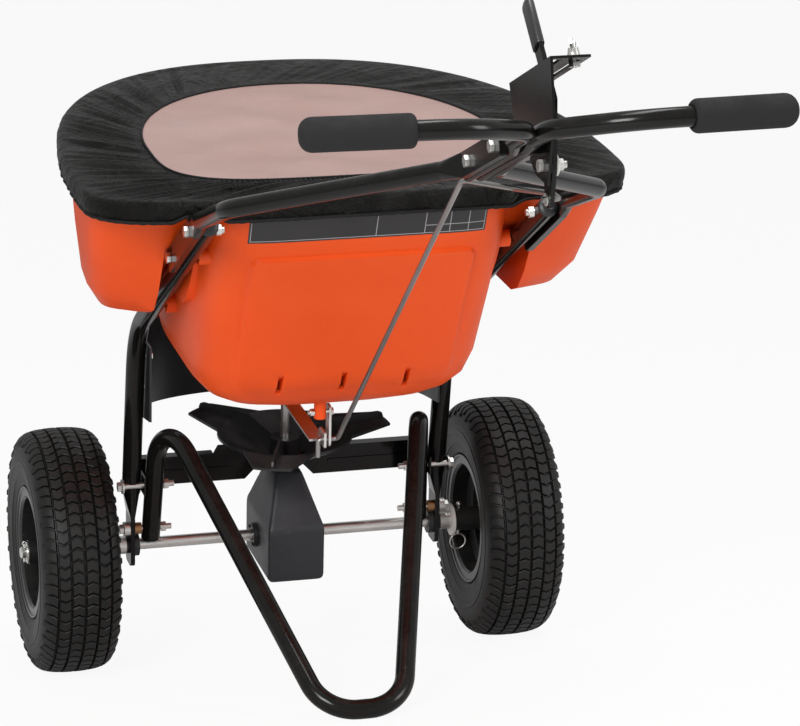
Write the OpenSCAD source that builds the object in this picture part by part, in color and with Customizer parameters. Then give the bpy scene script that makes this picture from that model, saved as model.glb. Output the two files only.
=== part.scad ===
// Walk-behind salt spreader with a moulded hopper, a tube frame and two pneumatic wheels.
// Lengths are millimetres. The machine is drawn upright about its axle (x to the right, y forward,
// z up, origin on the axle) and then leans back about the axle until its stand meets the floor.

/* [Stance] */
// Angle that the machine leans back about the axle when it rests on its stand
lean = 11; // [10:0.1:12]

/* [Wheels] */
// Outside radius of the tyres
tyre_r = 165; // [160:1:170]
// Widest width of a tyre
tyre_w = 109; // [100:1:112]
// Distance from the middle plane to the middle of each wheel
wheel_x = 305; // [300:1:320]
// Radius of the rim's flanges
rim_r = 88.6; // [86:0.2:92]
// Height of the rim's flanges above the seats of the tyre's beads
flange_h = 12.4; // [11.6:0.2:13]
// Width over the rim's two flanges
rim_w = 97; // [94:1:98]
// Thickness of the rim's sheet
rim_t = 2.5; // [2:0.1:3]
// Outside radius of the wheel's hub
hub_r = 16; // [14:0.5:20]

/* [Axle] */
// Diameter of the axle
axle_d = 15.9; // [15:0.1:17]
// Distance from the middle plane to each end of the axle
axle_end = 364; // [362:1:370]
// Radial running clearance on the axle
axle_gap = 0.1; // [0.05:0.01:0.15]

/* [Frame] */
// Outside diameter of the frame's round tubes
tube_d = 25.4; // [24:0.1:26]
// Distance from the middle plane to the frame tubes
frame_x = 213; // [213:0.5:215]
// Inside radius of the bend in each frame tube, at the tube's centre line
frame_bend = 130; // [100:5:150]
// Slope of the upper run of each frame tube
frame_slope = 32.5; // [31:0.5:34]
// Thickness of the flattened lower end of each frame tube
flat_t = 6; // [5:0.5:7]
// Clearance between fixed pieces that meet
seat_gap = 0.3; // [0.2:0.05:0.4]
// Diameter of the frame's bolts
bolt_d = 8; // [6:1:8]

/* [Stand] */
// Distance from the middle plane to the stand's legs at their lower ends
stand_x = 187; // [185:0.5:187]
// Place of the stand's foot along the upright machine, behind the axle
stand_foot_y = -444; // [-450:1:-430]
// Radius of the stand's two upper bends
stand_bend = 56; // [50:2:60]
// Radius of the two bends at the stand's foot
foot_bend = 58; // [50:2:60]
// Depth of the flat worn on the foot
foot_flat = 0.6; // [0.4:0.1:1]

/* [Gearbox] */
// Width of the gearbox cover
box_w = 78; // [76:1:84]
// Wall of the gearbox cover
box_t = 3; // [2.5:0.1:4]
// Number of teeth on the crown gear
crown_teeth = 36; // [36:4:40]
// Number of teeth on the pinion
pinion_teeth = 9; // [9:1:10]
// Pitch radius of the crown gear
crown_pitch = 31; // [30:0.5:32]
// Radial length of the crown gear's teeth
tooth_w = 6; // [4:0.5:7]
// Diameter of the upright shaft
shaft_d = 12; // [11:0.5:13]

/* [Impeller] */
// Radius to the tips of the impeller's blades
impeller_r = 148; // [140:1:150]
// Radius of the impeller's dish between the blades
dish_r = 92; // [85:1:100]
// Height of the vanes
vane_h = 16; // [12:1:18]
// Number of blades
blades = 3; // [3:1:4]
// Angle of the first blade at rest
blade_angle = 10; // [0:5:90]

/* [Hopper] */
// Wall of the hopper
hopper_t = 4; // [3:0.5:5]
// Height of the rim above the axle
rim_z = 610; // [606:1:612]
// Height of the outlet plate above the axle
outlet_z = 226; // [224:1:228]
// Diameter of each outlet hole
port_d = 24; // [22:1:24]
// Distance of the outlet holes from the shaft
port_r = 30; // [28:1:32]
// Width of the channels for the frame tubes and the handle
channel_w = 40; // [38:0.5:42]

/* [Cover] */
// Thickness of the rain cover
cover_t = 3; // [2:0.5:4]
// Number of gathers round the elastic hem
gathers = 40; // [30:2:44]

/* [Shield] */
// Half width of the shield under the hopper
shield_x = 199.5; // [198:0.5:199.5]
// Thickness of the shield
shield_t = 3; // [2:0.5:3]

/* [Handle] */
// Diameter of the handlebars
bar_d = 22.2; // [21:0.2:24]
// Thickness of the flattened legs and tube ends
leg_t = 12; // [11:0.5:13]
// Height of the flattened legs
leg_h = 31; // [28:0.5:33]
// Diameter of the foam grips
grip_d = 37; // [34:1:40]
// Length of the foam grips
grip_l = 122; // [110:1:125]

/* [Control] */
// Thickness of the control bracket
bracket_t = 3; // [2:0.5:3]
// Thickness of the control lever
lever_t = 5; // [4:0.5:5]
// Radius from the lever's and the crank's pivots to the rod's pins
arm_r = 38; // [36:1:40]
// Diameter of the control rod
rod_d = 6.3; // [6:0.1:6.5]
// Width of the bracket's slotted top flange
flange_w = 45; // [42:1:50]

/* [Hidden] */
$fn = 64;
r_tube = tube_d/2;
r_axle = axle_d/2;
// How much narrower the pressed part of a tube is than the tube where it starts inside it
hull_in = 1.4;
// Where the lower and the upper run of a frame tube would cross, as [y, z]
frame_low = [0.4, 52];
frame_corner = [-41, 321];
frame_top = frame_corner + 507*[-cos(frame_slope), sin(frame_slope)];
// Bolts along x through the frame tubes: hopper, hopper and handle, handle, stand, stand
tube_bolts = [on_tube(145), on_tube(368), on_tube(487), [-15, 90], [-8.5, 26]];
function on_tube(s) = frame_corner + s*[-cos(frame_slope), sin(frame_slope)];
// Stand: the vertices of its bent centre line
foot_z = (r_tube - foot_flat - tyre_r - stand_foot_y*sin(lean))/cos(lean);
stand_pts = [[-stand_x, -7.3, 11], [-stand_x + 7, -32, 214], [-52, stand_foot_y, foot_z],
    [52, stand_foot_y, foot_z], [stand_x - 7, -32, 214], [stand_x, -7.3, 11]];
// Gears
ratio = crown_teeth/pinion_teeth;
gear_m = 2*crown_pitch/crown_teeth;
pinion_pitch = crown_pitch/ratio;
pinion_bottom = crown_pitch - tooth_w/2;
crown_face = pinion_pitch + 1.25*gear_m;
// Seat of the tyre's beads, and distance of the valves from the axle
bead_r = rim_r - flange_h;
valve_r = bead_r - 20.7;
// Impeller
hub_z = 106;
dish_z = 142;
// Control: the lever's and the crank's pivots as [y, z]
lever_pivot = [-1043, 823];
crank_pivot = [-250, 265];
plate_at = leg_t + 10.6;
crank_x = -5;
post_x = -15;
post_r = 8;
// Upper handle: slope and start of the legs along the middle, as [y, z]
leg_slope = 25;
leg_start = [-862, 769];
leg_len = 205;
function on_leg(s) = leg_start + s*[-cos(leg_slope), sin(leg_slope)];
leg_bolts = [on_leg(58), on_leg(160)];
// Flange of the bracket, from its rear to its front end, as [y, z]
flange_rear = [-1056, 947];
flange_slope = 25.3;
flange_len = 159;
function on_flange(s) = flange_rear + s*[cos(flange_slope), -sin(flange_slope)];

// Small helpers
function unit(v) = v/norm(v);
function turn(a, b) = acos(max(-1, min(1, unit(a)*unit(b))));

// A polygon's points with every corner rounded to radius r by short chords
function rounded(p, r, k = 5) = [for (i = [0:len(p) - 1])
    let (a = p[(i + len(p) - 1) % len(p)], b = p[i], c = p[(i + 1) % len(p)],
        u = unit(a - b), v = unit(c - b), h = turn(u, v)/2, t = r/tan(h),
        o = b + unit(u + v)*r/sin(h), s = b + u*t - o, e = b + v*t - o)
    for (j = [0:k]) let (w = unit(s*(1 - j/k) + e*j/k)) o + w*r];

// Places the upright machine on the floor, leaning back, with its box centred over the origin
module in_place() {
    shift_y = 578.77;
    translate([0, shift_y, tyre_r]) rotate([lean, 0, 0]) children();
}

// Both mirrored copies about the middle plane
module both() {
    children();
    mirror([1, 0, 0]) children();
}

// Turns +z into +x
module along_x() {
    rotate([0, 90, 0]) children();
}

// Turns a drawing in [y, z] into a solid of thickness t from x
module plate_x(x, t) {
    translate([x, 0, 0]) rotate([90, 0, 90]) linear_extrude(height = t) children();
}

// Turns a drawing in [x, z] into a solid of thickness t from y forward
module plate_y(y, t) {
    translate([0, y + t, 0]) rotate([90, 0, 0]) linear_extrude(height = t) children();
}

// A cylinder from point a to point b
module rod_between(a, b, d, k = 64) {
    v = b - a;
    q = unit(v);
    s = abs(q[0]) < 0.9 ? unit(cross(q, [1, 0, 0])) : unit(cross(q, [0, 1, 0]));
    w = cross(q, s);
    multmatrix([[s[0], w[0], q[0], a[0]], [s[1], w[1], q[1], a[1]], [s[2], w[2], q[2], a[2]],
        [0, 0, 0, 1]]) cylinder(d = d, h = norm(v), $fn = k);
}

// A round bar bent at each inner point of its path to the radius given for that point.
// A bend is a hair thinner than the straight runs and reaches a little way into them.
module bent_bar(p, radii, d) {
    n = len(p) - 1;
    reach = 0.4;
    cut = [for (i = [0:n]) (i == 0 || i == n) ? 0
        : radii[i - 1]*tan(turn(p[i] - p[i - 1], p[i + 1] - p[i])/2)];
    for (i = [0:n - 1]) {
        u = unit(p[i + 1] - p[i]);
        rod_between(p[i] + u*cut[i], p[i + 1] - u*cut[i + 1], d);
    }
    for (i = [1:n - 1]) {
        r = radii[i - 1];
        u = unit(p[i] - p[i - 1]);
        v = unit(p[i + 1] - p[i]);
        b = unit(cross(u, v));
        o = p[i] - u*cut[i] + cross(b, u)*r;
        x = -cross(b, u);
        more = reach/r*180/PI;
        multmatrix([[x[0], u[0], b[0], o[0]], [x[1], u[1], b[1], o[1]], [x[2], u[2], b[2], o[2]],
            [0, 0, 0, 1]]) rotate(-more) rotate_extrude(angle = turn(u, v) + 2*more)
            translate([r, 0]) circle(d = d - 0.06);
    }
}

// A hexagon bolt along x from x0, under its head, to x1, with a nut at n
module bolt_x(x0, x1, at, d, n) {
    s = x1 > x0 ? 1 : -1;
    translate([x0, at[0], at[1]]) mirror([s < 0 ? 1 : 0, 0, 0]) along_x() {
        cylinder(d = d, h = abs(x1 - x0), $fn = 32);
        translate([0, 0, -0.65*d]) cylinder(d = 1.75*d, h = 0.65*d, $fn = 6);
        translate([0, 0, abs(n - x0)]) cylinder(d = 1.75*d, h = 0.8*d, $fn = 6);
    }
}

// A washer along x
module ring_x(x, t, ro, ri) {
    translate([x, 0, 0]) along_x() difference() {
        cylinder(r = ro, h = t);
        translate([0, 0, -1]) cylinder(r = ri, h = t + 2);
    }
}

// Outline of a stadium of width w and height h, about the origin
module stadium(w, h) {
    square([w, h - w], center = true);
    translate([0, (h - w)/2]) circle(d = w, $fn = 32);
    translate([0, (w - h)/2]) circle(d = w, $fn = 32);
}

// Frame

// One frame tube: flat lower end with the axle's bearing, one bend, long upper run
module frame_tube() {
    low = [frame_x, frame_low[0] - 3.9, frame_low[1] + 26];
    up = unit([0, frame_corner[0], frame_corner[1]] - [0, low[1], low[2]]);
    difference() {
        union() {
            bent_bar([low, [frame_x, frame_corner[0], frame_corner[1]], [frame_x, frame_top[0], frame_top[1]]],
                [frame_bend], tube_d);
            hull() {
                rod_between(low + 2.9*up, low + 3*up, tube_d - hull_in, 32);
                translate([frame_x - flat_t/2 + 0.03, -17, 44]) cube([flat_t - 0.06, 34, 0.1]);
            }
            plate_x(frame_x - flat_t/2, flat_t)
                polygon(rounded([[-17, -27], [17, -27], [17, 47.1], [-17, 47.1]], 7));
        }
        translate([frame_x - 20, 0, 0]) along_x() cylinder(r = 12 + seat_gap, h = 40);
        for (b = tube_bolts)
            translate([frame_x - 20, b[0], b[1]]) along_x() cylinder(d = bolt_d + 2*seat_gap, h = 40);
        translate([frame_x, frame_top[0], frame_top[1]]) rotate([90 - frame_slope, 0, 0])
            translate([0, 0, -20]) cylinder(d = tube_d - 4, h = 40);
    }
}

module frame_tube_left() {
    color([0.05, 0.05, 0.05]) in_place() mirror([1, 0, 0]) frame_tube();
}

module frame_tube_right() {
    color([0.05, 0.05, 0.05]) in_place() frame_tube();
}

// Plastic plugs in the upper ends of the frame tubes
module tube_caps() {
    color([0.08, 0.08, 0.08]) in_place() both()
        translate([frame_x, frame_top[0], frame_top[1]]) rotate([90 - frame_slope, 0, 0]) {
            translate([0, 0, -15]) cylinder(d = tube_d - 4 - 2*seat_gap, h = 15 + seat_gap);
            translate([0, 0, seat_gap]) rotate_extrude()
                polygon([[0, 0], [r_tube, 0], [r_tube, 1.5], [r_tube - 1.5, 3.5], [r_tube - 5, 5], [0, 5.5]]);
        }
}

// Pressed cross-member between the frame tubes, notched over the gearbox, with two long beads
module cross_member() {
    x_end = frame_x - r_tube - seat_gap;
    half = [[20, 100], [48, 71], [x_end, 71], [x_end, 109], [92, 111], [86, 122], [66, 122], [44, 108],
        [20, 107]];
    outline = concat(half, [for (i = [len(half) - 1:-1:0]) [-half[i][0], half[i][1]]]);
    tab_t = 2.5;
    color([0.06, 0.06, 0.06]) in_place() difference() {
        union() {
            plate_y(30, 3) polygon(outline);
            both() plate_y(28.5, 4.5) translate([120, 87]) bead();
            both() translate([x_end - tab_t, -28, 79]) cube([tab_t, 61, 26]);
            both() translate([92, 30, 108]) cube([x_end - 92, 16, 2.5]);
            both() translate([48, 30, 71]) cube([x_end - 48, 10, 2.5]);
        }
        both() plate_y(30, 4) translate([120, 87]) bead(2.4);
        both() translate([x_end - 10, tube_bolts[3][0], tube_bolts[3][1]]) along_x()
            cylinder(d = bolt_d + 2*seat_gap, h = 20);
    }
}

// Outline of one bead, drawn in by inset
module bead(inset = 0) {
    l = 96;
    h = 9 - 2*inset;
    square([l, h], center = true);
    for (s = [-1, 1]) translate([s*l/2, 0]) circle(d = h, $fn = 24);
}

// Stand: one bent tube, flat where it meets the floor
module stand() {
    color([0.05, 0.05, 0.05]) difference() {
        in_place() difference() {
            bent_bar(stand_pts, [stand_bend, foot_bend, foot_bend, stand_bend], tube_d);
            both() for (i = [3, 4])
                translate([stand_x - 30, tube_bolts[i][0], tube_bolts[i][1]]) along_x()
                    cylinder(d = bolt_d + 2*seat_gap, h = 60);
        }
        translate([-100, 0, -20]) cube([200, 400, 20]);
    }
}

module stand_bolts() {
    head_x = [frame_x + r_tube + 3, frame_x + flat_t/2 + 8.5];
    nut_x = [171, 173];
    sleeve_l = [2.6, 7.9];
    color([0.72, 0.72, 0.7]) in_place() both() for (i = [0, 1]) {
        at = tube_bolts[i + 3];
        bolt_x(head_x[i], nut_x[i] - 14, at, bolt_d, nut_x[i]);
        translate([head_x[i] - seat_gap - sleeve_l[i], at[0], at[1]]) along_x() difference() {
            cylinder(r = 10, h = sleeve_l[i]);
            translate([0, 0, -1]) cylinder(d = bolt_d + 2*seat_gap, h = 12);
        }
    }
}

// Spacers between stand and frame tube at the lower bolts
module stand_spacers() {
    color([0.55, 0.3, 0.2]) in_place() both()
        translate([stand_x + 1, tube_bolts[4][0], tube_bolts[4][1]]) difference() {
            translate([12.3, 0, 0]) along_x() cylinder(r = 8, h = frame_x - flat_t/2 - stand_x - 13.6);
            along_x() cylinder(d = bolt_d + 2*seat_gap, h = 40);
        }
}

// Bushes that carry the axle in the flat ends of the frame tubes
module axle_bearings() {
    color([0.07, 0.07, 0.07]) in_place() both() translate([frame_x, 0, 0]) along_x() difference() {
        union() {
            translate([0, 0, -flat_t/2 - 0.2 - 7]) cylinder(r = 16, h = 7);
            translate([0, 0, -flat_t/2 - 0.3]) cylinder(r = 12, h = flat_t + 4);
        }
        translate([0, 0, -20]) cylinder(r = r_axle + axle_gap, h = 40);
    }
}

// Gearbox

// Gearbox cover as the overlap of its side and front outlines, grown by grow
module box_shape(grow) {
    side = [[-78 - grow, -43 - grow], [-78 - grow, 34], [-37 - grow, 90], [-28, 101 + grow],
        [28, 101 + grow], [44 + grow, 72], [62 + grow, 30], [62 + grow, -43 - grow]];
    w = box_w/2 + grow;
    front = [[-w, -43 - grow], [w, -43 - grow], [w, 33], [17 + grow, 101 + grow], [-17 - grow, 101 + grow],
        [-w, 33]];
    r = grow < 0 ? 4 : 7;
    intersection() {
        plate_x(-60, 120) polygon(rounded(side, r, 4));
        plate_y(-100, 200) polygon(rounded(front, r, 4));
    }
}

// Moulded cover with the gears inside
module gearbox_cover() {
    color([0.13, 0.13, 0.14]) in_place() difference() {
        union() {
            box_shape(0);
            translate([0, 0, 92]) cylinder(r1 = 17, r2 = 13, h = 11);
        }
        box_shape(-box_t);
        translate([-60, 0, 0]) along_x() cylinder(r = 12.2, h = 120);
        translate([0, 0, 80]) cylinder(r = 9.3, h = 40);
    }
}

// Flanged bushes in the sides of the gearbox cover
module gearbox_bushes() {
    x0 = box_w/2;
    color([0.1, 0.1, 0.1]) in_place() {
        both() {
            translate([x0 - box_t, 0, 0]) along_x() difference() {
                union() {
                    cylinder(r = 12, h = box_t + 1);
                    translate([0, 0, box_t + 0.2]) cylinder(r = 16.5, h = 6);
                    for (a = [45:90:315]) rotate(a) translate([13.2, 0, box_t + 6])
                        cylinder(d = 5, h = 2.4, $fn = 6);
                }
                translate([0, 0, -1]) cylinder(r = r_axle + axle_gap, h = 30);
            }
        }
    }
}

// Bush for the upright shaft in the top of the gearbox cover
module shaft_bearing() {
    color([0.7, 0.55, 0.3]) in_place() difference() {
        union() {
            translate([0, 0, 74]) cylinder(r = 9, h = 29);
            translate([0, 0, 103.3]) cylinder(r = 12, h = 1.4);
            translate([0, 0, 102]) cylinder(r = 9, h = 2);
        }
        translate([0, 0, 60]) cylinder(d = shaft_d + 2*axle_gap, h = 60);
    }
}

// Axle and wheels

module axle() {
    color([0.75, 0.75, 0.73]) in_place() difference() {
        union() {
            translate([-axle_end + 2, 0, 0]) along_x() cylinder(d = axle_d, h = 2*axle_end - 4);
            both() translate([axle_end - 2, 0, 0]) along_x() cylinder(d1 = axle_d, d2 = axle_d - 4, h = 2);
        }
        for (x = [-axle_end + 6, axle_end - 6, 249]) translate([x, 0, -20]) cylinder(d = 4.4, h = 40, $fn = 24);
        translate([22, 0, -20]) cylinder(d = 5.3, h = 40, $fn = 24);
    }
}

// One tooth of the crown gear, pointing towards -x at the top of the wheel
module crown_tooth() {
    tip = crown_face - 2.1*gear_m;
    base = 0.24*PI*gear_m;
    top = 0.1*PI*gear_m;
    translate([0, 0, crown_pitch - tooth_w/2]) linear_extrude(height = tooth_w)
        polygon([[tip, -top], [tip, top], [crown_face + 0.5, base], [crown_face + 0.5, -base]]);
}

// Crown gear with a hub, pinned on the axle
module crown_gear() {
    color([0.6, 0.6, 0.6]) in_place() difference() {
        union() {
            translate([crown_face, 0, 0]) along_x() cylinder(r = crown_pitch + tooth_w/2, h = 4);
            translate([crown_face, 0, 0]) along_x() cylinder(r = 14, h = 28 - crown_face);
            for (i = [0:crown_teeth - 1]) rotate([i*360/crown_teeth, 0, 0]) crown_tooth();
        }
        along_x() cylinder(r = r_axle + 0.05, h = 40);
        translate([22, 0, -20]) cylinder(d = 5.3, h = 40, $fn = 24);
        for (a = [30:60:330]) rotate([a, 0, 0]) translate([0, 0, 21]) along_x()
            cylinder(r = 4, h = 40, $fn = 32);
    }
}

module gear_pin() {
    color([0.5, 0.5, 0.5]) in_place() translate([22, 0, -15]) cylinder(d = 5, h = 30, $fn = 24);
}

// Section of a rim from its middle, as [distance from the wheel's middle plane, radius]
module rim() {
    w = rim_w/2;
    t = rim_t;
    outer = [[-w, rim_r], [-w + 4, rim_r], [-w + t + 1, rim_r - 3], [-w + t + 1, bead_r + 3],
        [-w + t + 3, bead_r], [-22, bead_r], [-16, bead_r - 12], [16, bead_r - 12], [22, bead_r],
        [w - t - 3, bead_r], [w - t - 1, bead_r + 3], [w - t - 1, rim_r - 3], [w - 4, rim_r], [w, rim_r]];
    inner = [[w, rim_r - t], [w - 1.6, rim_r - t - 1], [w - 1.6, bead_r], [w - 5, bead_r - t],
        [23, bead_r - t], [17.5, bead_r - 12 - t], [-17.5, bead_r - 12 - t], [-23, bead_r - t],
        [-w + 5, bead_r - t], [-w + 1.6, bead_r], [-w + 1.6, rim_r - t - 1], [-w, rim_r - t]];
    dish = [[-8, bead_r - 12 - t + 1], [-8 + 3, bead_r - 12 - t + 1], [-3, 50], [-12, 44], [-18, 26],
        [-18, hub_r - 1], [-21, hub_r - 1], [-21, 27], [-14.5, 46], [-6, 52]];
    neck = wheel_x - 240;
    difference() {
        along_x() union() {
            rotate_extrude($fn = 96) polygon([for (q = concat(outer, inner)) [q[1], q[0]]]);
            rotate_extrude($fn = 96) polygon([for (q = dish) [q[1], q[0]]]);
            translate([0, 0, -neck]) cylinder(r = hub_r, h = neck + 48);
        }
        translate([-neck - 1, 0, 0]) along_x() cylinder(r = r_axle + axle_gap, h = 200);
        translate([-30, 0, valve_r]) along_x() cylinder(d = 8.5, h = 60, $fn = 32);
    }
}

// Half section of the tyre, outside and inside, as [distance from its middle plane, radius]
module tyre() {
    w = tyre_w/2;
    bw = rim_w/2 - rim_t - 1 - seat_gap;
    r = tyre_r;
    half_out = [[bw, bead_r + 3.6], [bw, rim_r - 3.4],
        [bw - 0.6, rim_r + 0.4], [bw + 2.2, rim_r + 2], [w - 3.5, rim_r + 15.4], [w - 0.6, 116], [w, 126],
        [w - 1, 137], [w - 3, 145], [w - 6, 152], [w - 11, 158], [w - 18, 162], [w - 27, r - 1]];
    grooves = [[22, r - 0.6], [22, r - 4], [17, r - 4], [17, r - 0.4], [6, r], [6, r - 4]];
    half_in = [[0, r - 11], [w - 25, r - 13], [w - 14, 144], [w - 8, 134], [w - 7, 120], [w - 10, rim_r + 17.4],
        [bw - 8, rim_r + 3.4], [bw - 8, bead_r + seat_gap], [bw - 2, bead_r + seat_gap]];
    outer = concat(half_out, grooves);
    left = [for (i = [len(outer) - 1:-1:0]) [-outer[i][0], outer[i][1]]];
    inner = concat([for (i = [len(half_in) - 1:-1:1]) [-half_in[i][0], half_in[i][1]]], half_in);
    ring = concat(outer, left, inner);
    along_x() rotate_extrude($fn = 96) polygon([for (q = ring) [q[1], q[0]]]);
}

module rim_right() {
    color([0.1, 0.1, 0.1]) in_place() difference() {
        translate([wheel_x, 0, 0]) rim();
        translate([249, 0, -30]) cylinder(d = 4.4, h = 60, $fn = 24);
    }
}

module rim_left() {
    color([0.1, 0.1, 0.1]) in_place() mirror([1, 0, 0]) translate([wheel_x, 0, 0]) rim();
}

module tyre_right() {
    color([0.12, 0.12, 0.12]) in_place() translate([wheel_x, 0, 0]) tyre();
}

module tyre_left() {
    color([0.12, 0.12, 0.12]) in_place() mirror([1, 0, 0]) translate([wheel_x, 0, 0]) tyre();
}

// Valve stem in the well of a rim
module valve() {
    translate([-22, 0, valve_r]) along_x() cylinder(d = 7.9, h = 34, $fn = 32);
    translate([-23, 0, valve_r]) along_x() cylinder(d = 6, h = 3, $fn = 32);
    translate([-10.9, 0, valve_r]) along_x() cylinder(d = 10, h = 1.8, $fn = 32);
}

module valve_right() {
    color([0.15, 0.15, 0.15]) in_place() translate([wheel_x, 0, 0]) valve();
}

module valve_left() {
    color([0.15, 0.15, 0.15]) in_place() mirror([1, 0, 0]) translate([wheel_x, 0, 0]) valve();
}

// Zinc sleeves between the frame's bearings and the wheels
module hub_spacers() {
    x0 = frame_x + flat_t/2 + 4.3;
    color([0.75, 0.75, 0.73]) in_place() both() ring_x(x0, 235.8 - x0, 12.5, r_axle + axle_gap);
}

// Nylon washers between the sleeves and the hubs
module hub_washers() {
    color([0.9, 0.9, 0.85]) in_place() both() ring_x(236.2, 3.4, 22, r_axle + axle_gap);
}

// Pin with a ring that drives the right wheel
module drive_cotter() {
    color([0.8, 0.8, 0.78]) in_place() {
        translate([249, 0, -22]) cylinder(d = 4, h = 44, $fn = 24);
        translate([249, 0, 22]) sphere(d = 7, $fn = 24);
        translate([249, 0, -33]) rotate([90, 0, 0]) rotate_extrude($fn = 48)
            translate([11, 0]) circle(d = 2.4, $fn = 16);
    }
}

// Washers and cotters at the ends of the axle
module end_cotters() {
    color([0.75, 0.75, 0.73]) in_place() both() {
        ring_x(353.4, 1.8, 15, r_axle + axle_gap);
        translate([axle_end - 6, 0, -13]) cylinder(d = 4, h = 26, $fn = 24);
        translate([axle_end - 6, 0, 13]) rotate([90, 0, 0]) rotate_extrude($fn = 24)
            translate([2.6, 0]) circle(d = 2, $fn = 16);
    }
}

// Spinner

module upright_shaft() {
    color([0.7, 0.7, 0.7]) in_place() difference() {
        union() {
            translate([0, 0, pinion_bottom - 0.5]) cylinder(d = 8, h = 62 - pinion_bottom);
            translate([0, 0, 61]) cylinder(d = shaft_d, h = 262 - 61);
        }
        translate([-20, 0, 112]) along_x() cylinder(d = 4.3, h = 40, $fn = 24);
        translate([-20, 0, 252]) along_x() cylinder(d = 5.3, h = 40, $fn = 24);
    }
}

// Pinion that meshes with the crown gear
module pinion() {
    z0 = pinion_bottom;
    root = pinion_pitch - 1.2*gear_m;
    tip = pinion_pitch + 0.9*gear_m;
    thick = 0.22*PI*gear_m;
    color([0.65, 0.65, 0.65]) in_place() difference() {
        union() {
            translate([0, 0, z0]) cylinder(r = root, h = tooth_w + 8);
            translate([0, 0, z0 + tooth_w + 1]) cylinder(r = 9, h = 7);
            for (i = [0:pinion_teeth - 1]) rotate(180/pinion_teeth + i*360/pinion_teeth) translate([0, 0, z0])
                linear_extrude(height = tooth_w + 1.5)
                polygon([[root - 0.6, -thick - 0.5], [tip, -0.55*thick], [tip, 0.55*thick],
                    [root - 0.6, thick + 0.5]]);
        }
        translate([0, 0, z0 - 1]) cylinder(d = 8.1, h = 40);
    }
}

// Outline of the impeller seen from above: a dish with broad blades
module impeller_plan(grow = 0) {
    circle(r = dish_r + grow);
    for (i = [0:blades - 1]) rotate(blade_angle + i*360/blades) intersection() {
        circle(r = impeller_r + grow);
        polygon([[0, -dish_r*0.8], [impeller_r + 2, -24 - grow], [impeller_r + 2, 24 + grow], [0, dish_r*0.8]]);
    }
}

module impeller() {
    t = 3;
    color([0.08, 0.08, 0.09]) in_place() difference() {
        union() {
            intersection() {
                rotate_extrude($fn = 96) polygon([[0, hub_z + 2], [22, hub_z], [dish_r, dish_z],
                    [impeller_r + 3, dish_z + 3], [impeller_r + 3, dish_z + 3 + t],
                    [dish_r - 2, dish_z + t + 1], [24, hub_z + t + 4], [0, hub_z + t + 4]]);
                translate([0, 0, hub_z - 5]) linear_extrude(height = 80) impeller_plan();
            }
            translate([0, 0, hub_z]) cylinder(r = 20, h = 34);
            for (i = [0:blades - 1]) rotate(blade_angle + i*360/blades) vane();
        }
        translate([0, 0, hub_z - 5]) cylinder(d = shaft_d + 0.1, h = 80);
        translate([-30, 0, 112]) along_x() cylinder(d = 4.3, h = 60, $fn = 24);
    }
}

// One vane: an upright wall from the hub to the tip of a blade, rounded at its outer top corner
module vane() {
    top = dish_z + vane_h;
    rotate([90, 0, 0]) translate([0, 0, -1.5]) linear_extrude(height = 3)
        polygon([[18, hub_z + 5], [dish_r - 2, dish_z + 2], [impeller_r - 2, dish_z + 4],
            [impeller_r - 2, top - 7], [impeller_r - 4, top - 2], [impeller_r - 9, top],
            [60, top], [18, hub_z + 32]]);
}

module impeller_pin() {
    color([0.7, 0.7, 0.7]) in_place() translate([-21, 0, 112]) along_x() cylinder(d = 4, h = 42, $fn = 24);
}

// Cross pin that breaks lumps over the outlet
module agitator() {
    color([0.7, 0.7, 0.7]) in_place() {
        translate([-32, 0, 252]) along_x() cylinder(d = 5, h = 64, $fn = 24);
        for (s = [-1, 1]) translate([s*32, 0, 252]) sphere(d = 6, $fn = 24);
    }
}

// Hopper

// Point of a ring: half width a, widest at yc, front yf, rear yr, roundness ef and er
function ring_point(l, t) = let (c = cos(t), s = sin(t), front = s >= 0, e = front ? l[5] : l[6],
    b = front ? l[3] - l[2] : l[2] - l[4])
    [l[1]*sign(c)*pow(abs(c), e), l[2] + b*sign(s)*pow(abs(s), e), l[0]];

// Closed solid through a stack of rings given as [z, a, yc, yf, yr, ef, er]
module loft(levels, n = 56) {
    k = len(levels);
    pts = [for (l = levels) for (i = [0:n - 1]) ring_point(l, (i + 0.5)*360/n)];
    sides = [for (j = [0:k - 2]) for (i = [0:n - 1]) for (h = [0, 1])
        let (a = j*n + i, b = j*n + (i + 1) % n, c = a + n, d = b + n) h == 0 ? [a, c, b] : [b, c, d]];
    low = concat(pts, [[0, levels[0][2], levels[0][0]], [0, levels[k - 1][2], levels[k - 1][0]]]);
    caps = [for (i = [0:n - 1]) for (h = [0, 1]) h == 0 ? [k*n, i, (i + 1) % n]
        : [k*n + 1, (k - 1)*n + (i + 1) % n, (k - 1)*n + i]];
    polyhedron(points = low, faces = concat(sides, caps), convexity = 6);
}

// The hopper's middle tub, from the outlet up to the rim
tub_levels = [[outlet_z, 58, 0, 58, -58, 1, 1], [outlet_z + 16, 66, 0, 66, -70, 1, 0.95],
    [290, 128, -80, 96, -250, 0.8, 0.5], [300, 146, -95, 102, -272, 0.7, 0.38],
    [312, 163, -100, 110, -287, 0.66, 0.32], [330, 178, -110, 118, -301, 0.62, 0.3],
    [360, 186, -120, 127, -318, 0.6, 0.28], [440, 191, -150, 142, -358, 0.6, 0.27],
    [530, 194, -180, 160, -404, 0.62, 0.27], [rim_z, 195, -200, 172, -434, 0.62, 0.27]];
// The wide upper bowl that the side lobes belong to
bowl_levels = [[426, 272, -190, 40, -258, 0.8, 0.5], [438, 300, -195, 90, -280, 0.8, 0.42],
    [470, 319, -215, 130, -304, 0.8, 0.37], [540, 331, -270, 165, -348, 0.82, 0.34],
    [rim_z, 337, -330, 196, -392, 0.82, 0.34]];

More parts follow.
